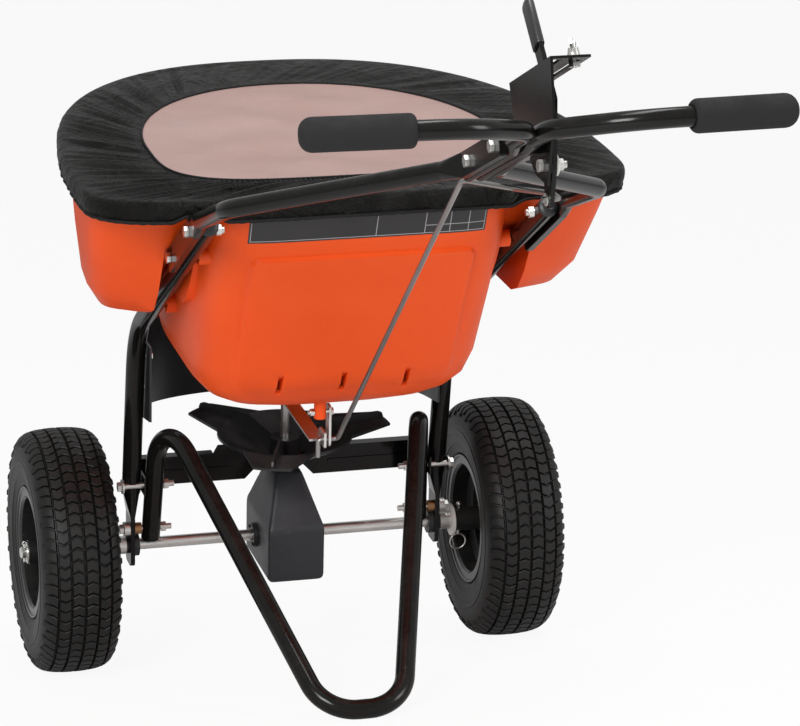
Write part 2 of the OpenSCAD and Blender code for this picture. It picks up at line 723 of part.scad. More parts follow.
// Levels drawn in by t on every side and raised by rise
function inset(levels, t, rise = 0) = [for (l = levels)
    [l[0] + rise, l[1] - t, l[2], l[3] - t, l[4] + t, l[5], l[6]]];

// Space that the frame tube runs through, grown by g
module channel(g) {
    h = r_tube + 5 + g;
    x0 = frame_x - r_tube - 1.8 - g;
    both() translate([x0, frame_corner[0], frame_corner[1]]) rotate([-frame_slope, 0, 0])
        translate([0, -600, -400]) cube([channel_w + 2*g, 1000, 400 + h]);
}

// Room for the upper ends of the frame tubes and for the lower handle's flats on them
module tube_room() {
    room_l = 180;
    flat_h = 17;
    a = on_tube(350);
    both() {
        rod_between([frame_x, a[0], a[1]], [frame_x, on_tube(560)[0], on_tube(560)[1]], tube_d + 2.4, 48);
        translate([frame_x, a[0], a[1]]) rotate([-frame_slope, 0, 0]) translate([0, -room_l, -flat_h])
            cube([hoop_x + 5.2 - frame_x, room_l, 2*flat_h]);
    }
}

// Three notches in the lower rear edge, grown by g
module notches(g) {
    for (x = [-83, 0, 83]) translate([x, -305 - g, 323]) rotate([-28, 0, 0])
        translate([-3.5 - g, -30, -22]) cube([7 + 2*g, 40, 42 + g]);
}

// Solid outside of the hopper
module hopper_outside() {
    loft(tub_levels);
    difference() {
        loft(bowl_levels);
        channel(0);
    }
    intersection() {
        loft(inset(tub_levels, -3));
        translate([0, -500, 0]) plate_y(0, 300)
            polygon(rounded([[-142, 330], [142, 330], [146, 526], [-146, 526]], 14));
    }
    translate([0, 0, rim_z - 8]) linear_extrude(height = 8) rim_outline(0);
    translate([0, 0, rim_z - 17]) linear_extrude(height = 10) difference() {
        rim_outline(0);
        rim_outline(-3);
    }
    translate([post_x, crank_pivot[0], crank_pivot[1] - 8]) cylinder(r = post_r, h = 50);
    both() for (b = [tube_bolts[0], tube_bolts[1]]) translate([170, b[0], b[1]]) along_x()
        cylinder(r = 11, h = frame_x - r_tube - seat_gap - 170);
}

// Plan of the rim at height z, grown by g, with gathers of depth w
function rim_ring(z, g, w = 0) = [z, 341 + g, -320, 199 + g, -434 - g, 0.82, 0.5, w];

module rim_outline(g) {
    polygon([for (i = [0:95]) let (q = ring_point(rim_ring(0, g), (i + 0.5)*360/96)) [q[0], q[1]]]);
}

module hopper() {
    color([0.88, 0.32, 0.13]) in_place() difference() {
        hopper_outside();
        difference() {
            loft(inset(tub_levels, hopper_t, 4));
            notches(3);
        }
        difference() {
            loft(inset(bowl_levels, hopper_t, 4));
            channel(hopper_t);
        }
        notches(0);
        translate([0, 0, rim_z - 2]) linear_extrude(height = 20) rim_outline(-8);
        tube_room();
        translate([0, 0, outlet_z - 1]) cylinder(r = 52, h = 20);
        translate([post_x - 20, crank_pivot[0], crank_pivot[1]]) along_x() cylinder(d = 6.6, h = 40, $fn = 32);
        both() for (b = [tube_bolts[0], tube_bolts[1]]) translate([160, b[0], b[1]]) along_x()
            cylinder(d = bolt_d + 2*seat_gap, h = 60);
    }
}

// Outlet plate: three holes ahead of the shaft and a bush for the shaft
module outlet_plate() {
    color([0.1, 0.1, 0.1]) in_place() difference() {
        union() {
            translate([0, 0, outlet_z]) cylinder(r = 51.6, h = 4);
            translate([0, 0, outlet_z]) cylinder(r = 12, h = 14);
        }
        translate([0, 0, outlet_z - 1]) cylinder(d = shaft_d + 2*axle_gap, h = 30);
        ports();
    }
}

module ports() {
    for (a = [30, 90, 150]) rotate(a) translate([port_r, 0, outlet_z - 20]) cylinder(d = port_d, h = 40);
}

shutter_w = 84;
shutter_z = outlet_z - 4.3;

// Two rails under the outlet that hold the shutter
module shutter_rails() {
    color([0.12, 0.12, 0.12]) in_place() both() difference() {
        translate([shutter_w/2 - 4, -52, outlet_z - 8]) cube([12, 104, 7.7]);
        translate([shutter_w/2 - 5, -60, outlet_z - 4.8]) cube([5.3, 120, 5]);
    }
}

// Sliding shutter with the same holes, a slot for the shaft and a tongue back to the crank
module shutter() {
    t = 3;
    z = outlet_z - 4.3;
    offset_y = -12;
    ear_y = crank_pivot[0];
    pin_z = crank_pivot[1] - arm_r;
    color([0.7, 0.7, 0.7]) in_place() difference() {
        union() {
            translate([-shutter_w/2 + 0.3, -56, z]) cube([shutter_w - 0.6, 116, t]);
            translate([-26, ear_y + 10, z]) cube([20, -ear_y - 50, t]);
            plate_x(-12, 3) polygon(rounded([[ear_y - 12, z - 3], [ear_y + 28, z - 3], [ear_y + 28, z + 4],
                [ear_y + 12, pin_z + 13], [ear_y - 12, pin_z + 13]], 2));
        }
        translate([0, offset_y, 0]) ports();
        translate([-9, -20, z - 1]) cube([18, 40, 6]);
        plate_x(-20, 20) translate([ear_y, pin_z + 1.2]) stadium(rod_d + 2.4, 13);
    }
}

// Bolts that hold the hopper and the lower handle on the frame tubes
module hopper_bolts() {
    color([0.75, 0.75, 0.73]) in_place() both() {
        bolt_x(frame_x + r_tube + 0.3, 174, tube_bolts[0], bolt_d, 183.4);
        bolt_x(frame_x + r_tube + 8.6, 172, tube_bolts[1], bolt_d, 180.2);
        bolt_x(frame_x + r_tube + 8.6, 190, tube_bolts[2], bolt_d, frame_x - r_tube - seat_gap);
    }
}

// Cover

// Ring of the cover with gathers of depth w
module cover_loft(levels, n, waves) {
    k = len(levels);
    pts = [for (l = levels) for (i = [0:n - 1]) 
        let (t = (i + 0.5)*360/n, q = ring_point(l, t), w = l[7]*sin(waves*t))
        [q[0]*(1 + w/300), q[1] + w*sin(t), q[2]]];
    sides = [for (j = [0:k - 2]) for (i = [0:n - 1]) for (h = [0, 1])
        let (a = j*n + i, b = j*n + (i + 1) % n, c = a + n, d = b + n) h == 0 ? [a, c, b] : [b, c, d]];
    all = concat(pts, [[0, levels[0][2], levels[0][0]], [0, levels[k - 1][2], levels[k - 1][0]]]);
    caps = [for (i = [0:n - 1]) for (h = [0, 1]) h == 0 ? [k*n, i, (i + 1) % n]
        : [k*n + 1, (k - 1)*n + (i + 1) % n, (k - 1)*n + i]];
    polyhedron(points = all, faces = concat(sides, caps), convexity = 6);
}

module window_outline(g) {
    l = [0, 232 + g, -190, 82 + g, -356 - g, 0.85, 0.75];
    polygon([for (i = [0:63]) let (q = ring_point(l, (i + 0.5)*360/64)) [q[0], q[1]]]);
}

// Rain cover stretched over the rim, with its hem drawn in below the rim
module rain_cover() {
    z = rim_z + 0.4;
    t = cover_t;
    color([0.07, 0.07, 0.07]) in_place() difference() {
        cover_loft([rim_ring(z - 21.4, 1, 2.2), rim_ring(z - 15, 5, 1.4), rim_ring(z - 7, 6, 0.8),
            rim_ring(z, 4.5), rim_ring(z + t, -2)], 96, gathers);
        cover_loft([rim_ring(z - 30, -2.8), rim_ring(z - 19.4, -2.8), rim_ring(z - 18.4, 0.6),
            rim_ring(z, 0.6)], 96, 0);
        linear_extrude(height = 700) window_outline(0.3);
        tube_room();
    }
}

// Clear window set in the cover
module cover_window() {
    color([0.8, 0.66, 0.64, 0.6]) in_place() translate([0, 0, rim_z + 0.4])
        linear_extrude(height = cover_t - 0.6) window_outline(0);
}

// Shield round the front of the spinner, open to the rear and cut higher at the front
module shield() {
    bottom = 170;
    top = 300;
    color([0.07, 0.07, 0.07]) in_place() difference() {
        intersection() {
            translate([0, 0, bottom]) linear_extrude(height = top - bottom) difference() {
                shield_plan(0);
                shield_plan(-shield_t);
            }
            plate_x(-250, 500) polygon([[-56, 178], [-20, 190], [30, 216], [80, 232], [260, 240], [260, 310],
                [-56, 310]]);
        }
        for (b = shield_bolt_at) translate([-250, b[0], b[1]]) along_x() cylinder(d = 6.6, h = 500, $fn = 32);
    }
}

module shield_plan(g) {
    r = shield_x + g;
    arc = [for (i = [0:32]) let (a = 180 - i*180/32) [r*cos(a), (172 + g)*pow(sin(a), 0.9)]];
    polygon(concat([[-r, -60]], arc, [[r, -60]]));
}

shield_bolt_at = [[-27, 236], [-35, 282]];

module shield_bolts() {
    color([0.1, 0.1, 0.1]) in_place() both() for (b = shield_bolt_at)
        translate([shield_x + 0.3, b[0], b[1]]) mirror([1, 0, 0]) along_x() {
            cylinder(d = 6, h = 9, $fn = 32);
            translate([0, 0, shield_t + 0.6]) cylinder(d = 12, h = 5, $fn = 6);
        }
}

// Handle

hoop_x = frame_x + r_tube + 0.3 + 4;

// Lower handle tube: flat leg on the frame tube, bend, run to the middle, flat end beside the legs
module lower_handle() {
    a = tube_bolts[1] + 22*[cos(frame_slope), -sin(frame_slope)];
    b = tube_bolts[2] + 30*[-cos(frame_slope), sin(frame_slope)];
    x_end = leg_t + 1 + 4.3;
    bend = [hoop_x - 4, -628, 664];
    s0 = on_leg(20);
    s1 = on_leg(182);
    inner = [x_end + 14, on_leg(-6)[0], on_leg(-6)[1]];
    start = [hoop_x - 2, b[0] - 22, b[1] + 12];
    u = unit(bend - start);
    v = unit(inner - bend);
    difference() {
        union() {
            plate_x(hoop_x - 4, 8) polygon(rounded([a + 15*[sin(frame_slope), cos(frame_slope)],
                b + 15*[sin(frame_slope), cos(frame_slope)], b - 15*[sin(frame_slope), cos(frame_slope)],
                a - 15*[sin(frame_slope), cos(frame_slope)]], 8));
            hull() {
                translate([hoop_x - 3.95, b[0], b[1]]) rotate([-frame_slope, 0, 0])
                    translate([0, 8, -14.9]) cube([7.9, 0.1, 29.8]);
                rod_between(start + 2.9*u, start + 3*u, bar_d - hull_in, 32);
            }
            bent_bar([start, bend, inner], [52], bar_d);
            hull() {
                rod_between(inner - 3*v, inner - 2.9*v, bar_d - 0.06, 32);
                translate([x_end - 3.95, s0[0], s0[1]]) rotate([-leg_slope, 0, 0])
                    translate([0, -8, -13.9]) cube([8.5, 0.1, 27.8]);
            }
            plate_x(x_end - 4, 8.6) polygon(rounded([s0 + 14*[sin(leg_slope), cos(leg_slope)],
                s1 + 14*[sin(leg_slope), cos(leg_slope)], s1 - 14*[sin(leg_slope), cos(leg_slope)],
                s0 - 14*[sin(leg_slope), cos(leg_slope)]], 2));
        }
        for (q = [tube_bolts[1], tube_bolts[2]])
            translate([hoop_x - 20, q[0], q[1]]) along_x() cylinder(d = bolt_d + 2*seat_gap, h = 40);
        for (q = leg_bolts) translate([-5, q[0], q[1]]) along_x() cylinder(d = bolt_d + 2*seat_gap, h = 60);
        translate([-20, s1[0] - 300, s1[1] - 300]) cube([20 + leg_t + 1 + 0.3, 600, 600]);
    }
}

module lower_handle_left() {
    color([0.05, 0.05, 0.05]) in_place() mirror([1, 0, 0]) lower_handle();
}

module lower_handle_right() {
    color([0.05, 0.05, 0.05]) in_place() lower_handle();
}

// Ends of a handlebar's outer run, which the grip goes over
grip_start = [96, -1160, 903];
grip_end = [266, -1140, 899];

// Handlebar: flat leg along the middle, bend outwards, second bend, straight grip end
module handlebar() {
    x0 = leg_t/2 + 1;
    x1 = x0 + 4.25;
    leg_end = on_leg(leg_len - 22.2);
    neck = on_leg(leg_len + 3);
    difference() {
        union() {
            translate([x0, leg_start[0], leg_start[1]]) rotate([90 - leg_slope, 0, 0])
                linear_extrude(height = leg_len - 22) stadium(leg_t, leg_h);
            hull() {
                translate([x0, leg_end[0], leg_end[1]]) rotate([90 - leg_slope, 0, 0])
                    linear_extrude(height = 0.2) stadium(leg_t, leg_h);
                translate([x1, neck[0], neck[1]]) rotate([90 - leg_slope, 0, 0])
                    cylinder(d = bar_d - 0.06, h = 0.2, $fn = 32);
            }
            bent_bar([[x1, on_leg(leg_len)[0], on_leg(leg_len)[1]], [x1, on_leg(258)[0], on_leg(258)[1]],
                grip_start, grip_end], [38, 110], bar_d);
        }
        for (q = leg_bolts) translate([-5, q[0], q[1]]) along_x() cylinder(d = bolt_d + 2*seat_gap, h = 60);
    }
}

module handlebar_left() {
    color([0.05, 0.05, 0.05]) in_place() mirror([1, 0, 0]) handlebar();
}

module handlebar_right() {
    color([0.05, 0.05, 0.05]) in_place() handlebar();
}

// Foam grip over the end of a handlebar
module grip() {
    u = unit(grip_end - grip_start);
    e = grip_end + 4*u;
    w = cross(u, [0, 0, 1]);
    s = unit(w);
    q = cross(u, s);
    o = e - grip_l*u;
    r = grip_d/2;
    multmatrix([[s[0], q[0], u[0], o[0]], [s[1], q[1], u[1], o[1]], [s[2], q[2], u[2], o[2]], [0, 0, 0, 1]])
        rotate_extrude() polygon([[bar_d/2 + seat_gap, 0], [r - 3, 0], [r - 1, 1], [r, 4], [r, grip_l - 5],
            [r - 1.5, grip_l - 1.5], [r - 5, grip_l], [0, grip_l], [0, grip_l - 4 + seat_gap],
            [bar_d/2 + seat_gap, grip_l - 4 + seat_gap]]);
}

module grip_left() {
    color([0.1, 0.1, 0.1]) in_place() mirror([1, 0, 0]) grip();
}

module grip_right() {
    color([0.1, 0.1, 0.1]) in_place() grip();
}

// Two bolts through both legs and the flat ends of the lower handle
module handle_bolts() {
    x = leg_t + 1 + 9.2;
    color([0.75, 0.75, 0.73]) in_place() {
        bolt_x(-x, x + 9, leg_bolts[0], bolt_d, x);
        bolt_x(-x, plate_at + bracket_t + 9, leg_bolts[1], bolt_d, plate_at + bracket_t + seat_gap);
    }
}

// Control

// Bracket: side plate beside the right leg and a slotted flange along its top edge
module control_bracket() {
    low = [[-912, 879], [-931, 846], [-985, 822], [-1020, 806], [-1062, 806], [-1074, 884]];
    color([0.06, 0.06, 0.06]) in_place() difference() {
        union() {
            plate_x(plate_at, bracket_t) polygon(concat([flange_rear, on_flange(flange_len)], low));
            translate([plate_at, flange_rear[0], flange_rear[1]]) rotate([-flange_slope, 0, 0])
                translate([0, 0, -bracket_t]) cube([flange_w, flange_len, bracket_t]);
        }
        translate([plate_at, flange_rear[0], flange_rear[1]]) rotate([-flange_slope, 0, 0]) {
            translate([bracket_t + 1, 8, -20]) cube([lever_t + 6, 122, 40]);
            translate([31, 14, -20]) cube([7, 105, 40]);
        }
        for (q = [lever_pivot, leg_bolts[1]])
            translate([0, q[0], q[1]]) along_x() cylinder(d = bolt_d + 2*seat_gap, h = 60);
    }
}

// Outline of the lever as [y, z]: arm down to the rod, up past the flange, then leaning forward
module lever() {
    p = lever_pivot;
    color([0.12, 0.12, 0.12]) in_place() plate_x(lever_pos, lever_t) difference() {
        polygon(rounded([p + [-9, -arm_r - 9], p + [9, -arm_r - 9], p + [16, 0], p + [14, 55], p + [50, 98],
            p + [106, 142], p + [94, 157], p + [38, 113], p + [-8, 76], p + [-16, 0]], 5));
        translate(p) circle(d = bolt_d + 2*seat_gap);
        translate(p + [0, -arm_r]) circle(d = rod_d + 0.6);
    }
}

lever_pos = plate_at + bracket_t + 3.5;

// Vinyl grip on the top of the lever
module lever_grip() {
    p = lever_pivot + [72, 127.5];
    slope = atan2(44, 56);
    color([0.1, 0.1, 0.1]) in_place() translate([lever_pos + lever_t/2, p[0], p[1]])
        rotate([slope, 0, 0]) difference() {
        rotate([-90, 0, 0]) translate([0, 0, -20]) linear_extrude(height = 61) stadium(13, 27);
        translate([-lever_t/2 - seat_gap, -30, -9.9]) cube([lever_t + 2*seat_gap, 66, 19.8]);
    }
}

// Pivot bolt of the lever
module lever_bolt() {
    color([0.75, 0.75, 0.73]) in_place()
        bolt_x(plate_at - seat_gap, lever_pos + lever_t + 15, lever_pivot, bolt_d, lever_pos + lever_t + 4.6);
}

module lever_washer() {
    color([0.92, 0.92, 0.9]) in_place() {
        translate([lever_pos + lever_t + 0.3, lever_pivot[0], lever_pivot[1]]) along_x() difference() {
            cylinder(r = 12, h = 4);
            translate([0, 0, -1]) cylinder(d = bolt_d + 2*seat_gap, h = 8);
        }
        translate([plate_at + bracket_t + 0.3, lever_pivot[0], lever_pivot[1]]) along_x() difference() {
            cylinder(r = 9, h = 2.9);
            translate([0, 0, -1]) cylinder(d = bolt_d + 2*seat_gap, h = 8);
        }
    }
}

// Stop that slides along the flange's second slot
module rate_stop() {
    color([0.7, 0.7, 0.7]) in_place() translate([plate_at + 34.5, flange_rear[0], flange_rear[1]])
        rotate([-flange_slope, 0, 0]) {
            translate([-8, 17, 0.3]) cube([17, 20, 2.5]);
            translate([0, 27, -9]) cylinder(d = 6, h = 26, $fn = 32);
            translate([0, 27, -bracket_t - 5.3]) cylinder(d = 13, h = 5, $fn = 6);
        }
}

// Wing nut on the stop's screw
module wing_nut() {
    color([0.8, 0.8, 0.78]) in_place() translate([plate_at + 34.5, flange_rear[0], flange_rear[1]])
        rotate([-flange_slope, 0, 0]) translate([0, 27, 3.1]) rotate(65) difference() {
            union() {
                cylinder(r1 = 7, r2 = 5.5, h = 9);
                for (s = [-1, 1]) rotate([90, 0, 0]) translate([0, 0, -1.5]) linear_extrude(height = 3)
                    polygon([[s*4, 2], [s*15, 11], [s*16, 18], [s*11, 19], [s*4, 8]]);
            }
            translate([0, 0, -1]) cylinder(d = 6.5, h = 30, $fn = 32);
        }
}

// Control rod: hooked through the crank, straight along the handle, bent to the lever's lower arm
rod_low = [0, crank_pivot[0], crank_pivot[1] - arm_r];
rod_high = [lever_pos + lever_t + 9, lever_pivot[0], lever_pivot[1] - arm_r];

module control_rod() {
    lo = rod_low;
    hi = rod_high;
    color([0.62, 0.62, 0.6]) in_place() bent_bar([lo + [-17, 0, -24], lo + [-17, 0, 0], lo + [9, 0, 0],
        [5, -800, 737], [hi[0], -880, 748], hi + [0, 26, -2], hi, [lever_pos - 6, hi[1], hi[2]]],
        [5, 5, 30, 30, 20, 5], rod_d);
}

// Clip that keeps the rod in the lever
module rod_clip() {
    color([0.7, 0.7, 0.7]) in_place() translate([lever_pos - 2.2, rod_high[1], rod_high[2]])
        along_x() difference() {
        cylinder(r = 7, h = 1.6);
        translate([0, 0, -1]) cylinder(d = rod_d + 0.1, h = 4);
    }
}

// Crank that swings on the hopper's post and moves the shutter
module crank() {
    p = crank_pivot;
    color([0.75, 0.75, 0.73]) in_place() plate_x(crank_x, 3) difference() {
        polygon(rounded([p + [-9, -arm_r - 8], p + [9, -arm_r - 8], p + [9, 10], p + [-9, 10]], 5));
        translate(p) circle(d = 6.6, $fn = 32);
        translate(p + [0, -arm_r]) circle(d = rod_d + 0.6);
    }
}

module crank_bolt() {
    nut_x = post_x - post_r - seat_gap;
    color([0.78, 0.78, 0.75]) in_place() bolt_x(crank_x + 3.3, nut_x - 7.7, crank_pivot, 6, nut_x);
}

frame_tube_left();
frame_tube_right();
tube_caps();
cross_member();
stand();
stand_bolts();
stand_spacers();
axle_bearings();
gearbox_cover();
gearbox_bushes();
shaft_bearing();
axle();
crown_gear();
gear_pin();
rim_right();
tyre_right();
hub_spacers();
hub_washers();
drive_cotter();
end_cotters();
rim_left();
tyre_left();
valve_right();
valve_left();
upright_shaft();
pinion();
impeller();
impeller_pin();
agitator();
hopper();
outlet_plate();
shutter_rails();
shutter();
hopper_bolts();
rain_cover();
cover_window();
shield();
shield_bolts();
lower_handle_left();
lower_handle_right();
handlebar_left();
handlebar_right();
grip_left();
grip_right();
handle_bolts();
control_bracket();
lever();
lever_grip();
lever_bolt();
lever_washer();
rate_stop();
wing_nut();
control_rod();
rod_clip();
crank();
crank_bolt();
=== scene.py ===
import math

import bmesh
import bpy
import numpy as np
from mathutils import Matrix, Vector


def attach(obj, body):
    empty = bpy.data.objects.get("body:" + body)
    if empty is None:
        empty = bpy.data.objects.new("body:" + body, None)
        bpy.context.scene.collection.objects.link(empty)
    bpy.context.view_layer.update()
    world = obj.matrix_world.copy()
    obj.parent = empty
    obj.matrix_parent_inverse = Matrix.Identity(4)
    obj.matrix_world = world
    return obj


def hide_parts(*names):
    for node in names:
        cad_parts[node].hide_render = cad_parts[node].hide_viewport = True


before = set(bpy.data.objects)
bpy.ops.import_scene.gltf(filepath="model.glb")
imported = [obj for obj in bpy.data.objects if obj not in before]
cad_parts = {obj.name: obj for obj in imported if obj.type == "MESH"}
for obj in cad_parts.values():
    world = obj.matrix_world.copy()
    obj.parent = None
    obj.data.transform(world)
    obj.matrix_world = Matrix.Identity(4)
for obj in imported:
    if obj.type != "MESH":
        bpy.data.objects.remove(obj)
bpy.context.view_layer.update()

bl_info = {
    "name": "Salt spreader looks",
    "version": (1, 0, 0),
    "blender": (4, 5, 0),
    "location": "View3D > Sidebar > Spreader",
    "description": "Finishes, fabric cover, tyres and small trim of a walk-behind salt spreader",
    "category": "Object",
}

# The machine is described upright about its axle, in millimetres, and leans back about the axle.
LEAN = math.radians(11.0)
AXLE_Y = 0.57877
AXLE_Z = 0.165
# Half width, widest line, front and rear of the hopper's rim in plan, with the roundness of both ends.
RIM = (341.0, -320.0, 199.0, -434.0, 0.82, 0.50)
WINDOW = (229.0, -196.0, 80.0, -354.0, 0.95, 0.52)
RIM_TOP = 610.0
# Rear wall of the tub: height, half width, widest line, rear, roundness.
WALL = np.array([[330.0, 178.0, -110.0, -301.0, 0.30], [360.0, 186.0, -120.0, -318.0, 0.28],
                 [440.0, 191.0, -150.0, -358.0, 0.27], [530.0, 194.0, -180.0, -404.0, 0.27],
                 [610.0, 195.0, -200.0, -434.0, 0.27]])
# Raised panel on the rear wall: bottom, top, half width below and above.
PANEL = (330.0, 526.0, 142.0, 146.0)
# Width of its sloped edge, and how much further out it stands than the solid's.
PANEL_SLOPE = 4.6
PANEL_RISE = 2.6
# Post under the floor that keeps its place: x, y, radius and top.
POST = (-15.0, -250.0, 9.0, 284.0)
# Half width of the tub, outside which the side lobes begin.
TUB_HALF = 205.0
# Share by which the lobes narrow towards the front.
LOBE_TAPER = 0.17
# Shield: half width, front, rear, upper edge, wall, and height of the lower edge at its rear ends.
SHIELD_X, SHIELD_FRONT, SHIELD_REAR, SHIELD_TOP, SHIELD_THICK = 199.5, 172.0, -60.0, 300.0, 3.0
SHIELD_EDGE = 196.0
WHEEL_X = 305.0
TYRE_RADIUS = 165.0
# Columns of tread blocks on one side: places across the tread in millimetres with the first and last
# place along it in rows, and by how many half rows the column is shifted.
TREAD = ((((1.4, 0.22, 1.04), (9.2, 0.0, 0.82), (17.4, 0.22, 1.04)), 0.0),
         (((19.4, 0.0, 0.82), (27.0, 0.22, 1.04), (34.6, 0.0, 0.82)), 1.0))
# Rounding of the foam grips' ends, and the lever grip's width and thickness.
GRIP_END = 14.0
LEVER_GRIP = (23.0, 11.5)
STITCH_LIFT = 0.95
# Label strip on the rear wall: left, right, bottom, top; its upright rules; its distance from the wall.
LABEL = (-150.0, 152.0, 549.0, 596.0)
LABEL_RULES = (10, 72, 104, 128)
LABEL_OFF, LINE_OFF = 0.5, 0.75
# Rows of cloth from the rim down to the hem: distance out from the rim, height, share of the folds.
HEM_ROWS = ((1.2, 613.6, 0.02), (3.6, 612.4, 0.1), (5.2, 610.0, 0.2), (6.2, 606.6, 0.35), (6.6, 602.0, 0.55),
            (6.4, 597.6, 0.8), (5.6, 593.6, 1.0), (4.2, 590.4, 1.0), (2.4, 588.2, 0.9))
# Points along the rim, rows of cloth between the window and the rim, rings of the window film.
COVER_POINTS, CLOTH_ROWS, FILM_RINGS = 960, 22, 26
# Seed of the cover's folds; each kind of fold adds its own number to it.
FOLD_SEED = 11


def at(points):
    """Millimetres of the upright machine to metres of the row frame."""
    p = np.asarray(points, float) / 1000.0
    c, s = math.cos(LEAN), math.sin(LEAN)
    return np.stack([p[..., 0], p[..., 1] * c - p[..., 2] * s + AXLE_Y,
                     p[..., 1] * s + p[..., 2] * c + AXLE_Z], -1)


def machine(points):
    """Metres of the row frame to millimetres of the upright machine."""
    p = np.asarray(points, float) * 1000.0
    c, s = math.cos(LEAN), math.sin(LEAN)
    y, z = p[..., 1] - AXLE_Y * 1000, p[..., 2] - AXLE_Z * 1000
    return np.stack([p[..., 0], y * c + z * s, -y * s + z * c], -1)


def plan(shape, n):
    """Points of a closed plan outline, evenly spaced along it from its right-hand side."""
    a, yc, yf, yr, ef, er = shape
    t = np.linspace(0.0, 2 * np.pi, 6001)
    c, s = np.cos(t), np.sin(t)
    e = np.where(s >= 0, ef, er)
    b = np.where(s >= 0, yf - yc, yc - yr)
    p = np.stack([a * np.sign(c) * np.abs(c) ** e, yc + b * np.sign(s) * np.abs(s) ** e], -1)
    along = np.concatenate([[0], np.cumsum(np.linalg.norm(np.diff(p, axis=0), axis=1))])
    w = np.arange(n) / n * along[-1]
    return np.stack([np.interp(w, along, p[:, 0]), np.interp(w, along, p[:, 1])], -1)


def outward(points):
    """Outward unit normals of a closed plan outline."""
    d = np.roll(points, -1, 0) - np.roll(points, 1, 0)
    n = np.stack([d[:, 1], -d[:, 0]], -1)
    return n / np.linalg.norm(n, axis=1)[:, None]


def ripple(t, counts, seed):
    """A smooth periodic noise of t from 0 to 1, made of waves with the given counts."""
    rng = np.random.default_rng(seed)
    out = np.zeros_like(t)
    for k in counts:
        out += rng.uniform(0.5, 1.0) * np.sin(2 * np.pi * (k * t + rng.random()))
    return out / len(counts)


def step(x):
    """Smooth rise from 0 to 1 as x goes from 0 to 1."""
    x = np.clip(x, 0.0, 1.0)
    return x * x * (3 - 2 * x)


def grid_faces(rows, cols, closed=True):
    """Quads between rows of cols points each."""
    last = cols if closed else cols - 1
    return [(r * cols + c, r * cols + (c + 1) % cols, (r + 1) * cols + (c + 1) % cols, (r + 1) * cols + c)
            for r in range(rows - 1) for c in range(last)]


def joined(parts):
    """Vertices and faces of several parts as one."""
    verts, faces = [], []
    for v, f in parts:
        base = len(verts)
        verts += list(v)
        faces += [tuple(i + base for i in q) for q in f]
    return np.array(verts, float), faces


def piece(name, verts, faces, material, body, sharp=35.0):
    """A new smooth-shaded mesh piece in metres that rides on a body."""
    mesh = bpy.data.meshes.new(name)
    mesh.from_pydata([tuple(map(float, v)) for v in verts], [], [tuple(map(int, f)) for f in faces])
    mesh.validate()
    mesh.shade_smooth()
    mesh.set_sharp_from_angle(angle=math.radians(sharp))
    mesh.materials.append(material)
    made = bpy.data.objects.new(name, mesh)
    bpy.context.scene.collection.objects.link(made)
    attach(made, body)
    return made


def tube(path, radius, sides=10, closed=True):
    """Vertices and faces of a tube along points in millimetres."""
    p = np.asarray(path, float)
    n = len(p)
    d = np.roll(p, -1, 0) - np.roll(p, 1, 0) if closed else np.gradient(p, axis=0)
    d /= np.linalg.norm(d, axis=1)[:, None]
    side = np.cross(d, [0.0, 0.0, 1.0])
    side /= np.linalg.norm(side, axis=1)[:, None]
    up = np.cross(side, d)
    r = np.broadcast_to(np.asarray(radius, float), (n,))[:, None, None]
    a = np.arange(sides) * 2 * np.pi / sides
    ring = p[:, None] + r * (side[:, None] * np.cos(a)[None, :, None] + up[:, None] * np.sin(a)[None, :, None])
    rows = [ring[i] for i in range(n)]
    if closed:
        rows.append(ring[0])
    return np.concatenate(rows), grid_faces(len(rows), sides)


# ---------------------------------------------------------------- materials

def new_group(name, outputs):
    """A shader node group that takes a scale and gives the named values."""
    g = bpy.data.node_groups.new(name, "ShaderNodeTree")
    scale = g.interface.new_socket("Scale", in_out="INPUT", socket_type="NodeSocketFloat")
    scale.default_value = 1.0
    for o in outputs:
        g.interface.new_socket(o, in_out="OUTPUT", socket_type="NodeSocketFloat")
    return g, g.nodes.new("NodeGroupInput"), g.nodes.new("NodeGroupOutput")


def noise(tree, vector, scale, detail=4.0, roughness=0.55, distortion=0.0):
    """The value of a noise texture, from 0 to 1."""
    n = tree.nodes.new("ShaderNodeTexNoise")
    n.inputs["Scale"].default_value = scale
    n.inputs["Detail"].default_value = detail
    n.inputs["Roughness"].default_value = roughness
    n.inputs["Distortion"].default_value = distortion
    tree.links.new(vector, n.inputs["Vector"])
    return n.outputs["Fac"]


def math_node(tree, kind, a, b=None, clamp=False):
    """The result of a math node on numbers or sockets."""
    m = tree.nodes.new("ShaderNodeMath")
    m.operation = kind
    m.use_clamp = clamp
    for i, v in enumerate([a, b]):
        if v is None:
            continue
        if isinstance(v, (int, float)):
            m.inputs[i].default_value = v
        else:
            tree.links.new(v, m.inputs[i])
    return m.outputs[0]


def remap(tree, value, low, high, out_low=0.0, out_high=1.0):
    """A value moved from one range to another."""
    m = tree.nodes.new("ShaderNodeMapRange")
    tree.links.new(value, m.inputs["Value"])
    m.inputs["From Min"].default_value = low
    m.inputs["From Max"].default_value = high
    m.inputs["To Min"].default_value = out_low
    m.inputs["To Max"].default_value = out_high
    return m.outputs["Result"]


def mix_colour(tree, factor, a, b):
    """A blend of two colours, each a constant or a socket."""
    m = tree.nodes.new("ShaderNodeMix")
    m.data_type = "RGBA"
    for key, v in ((0, factor), (6, a), (7, b)):
        if isinstance(v, (tuple, list)):
            m.inputs[key].default_value = (*v[:3], 1.0)
        elif isinstance(v, (int, float)):
            m.inputs[key].default_value = v
        else:
            tree.links.new(v, m.inputs[key])
    return m.outputs[2]


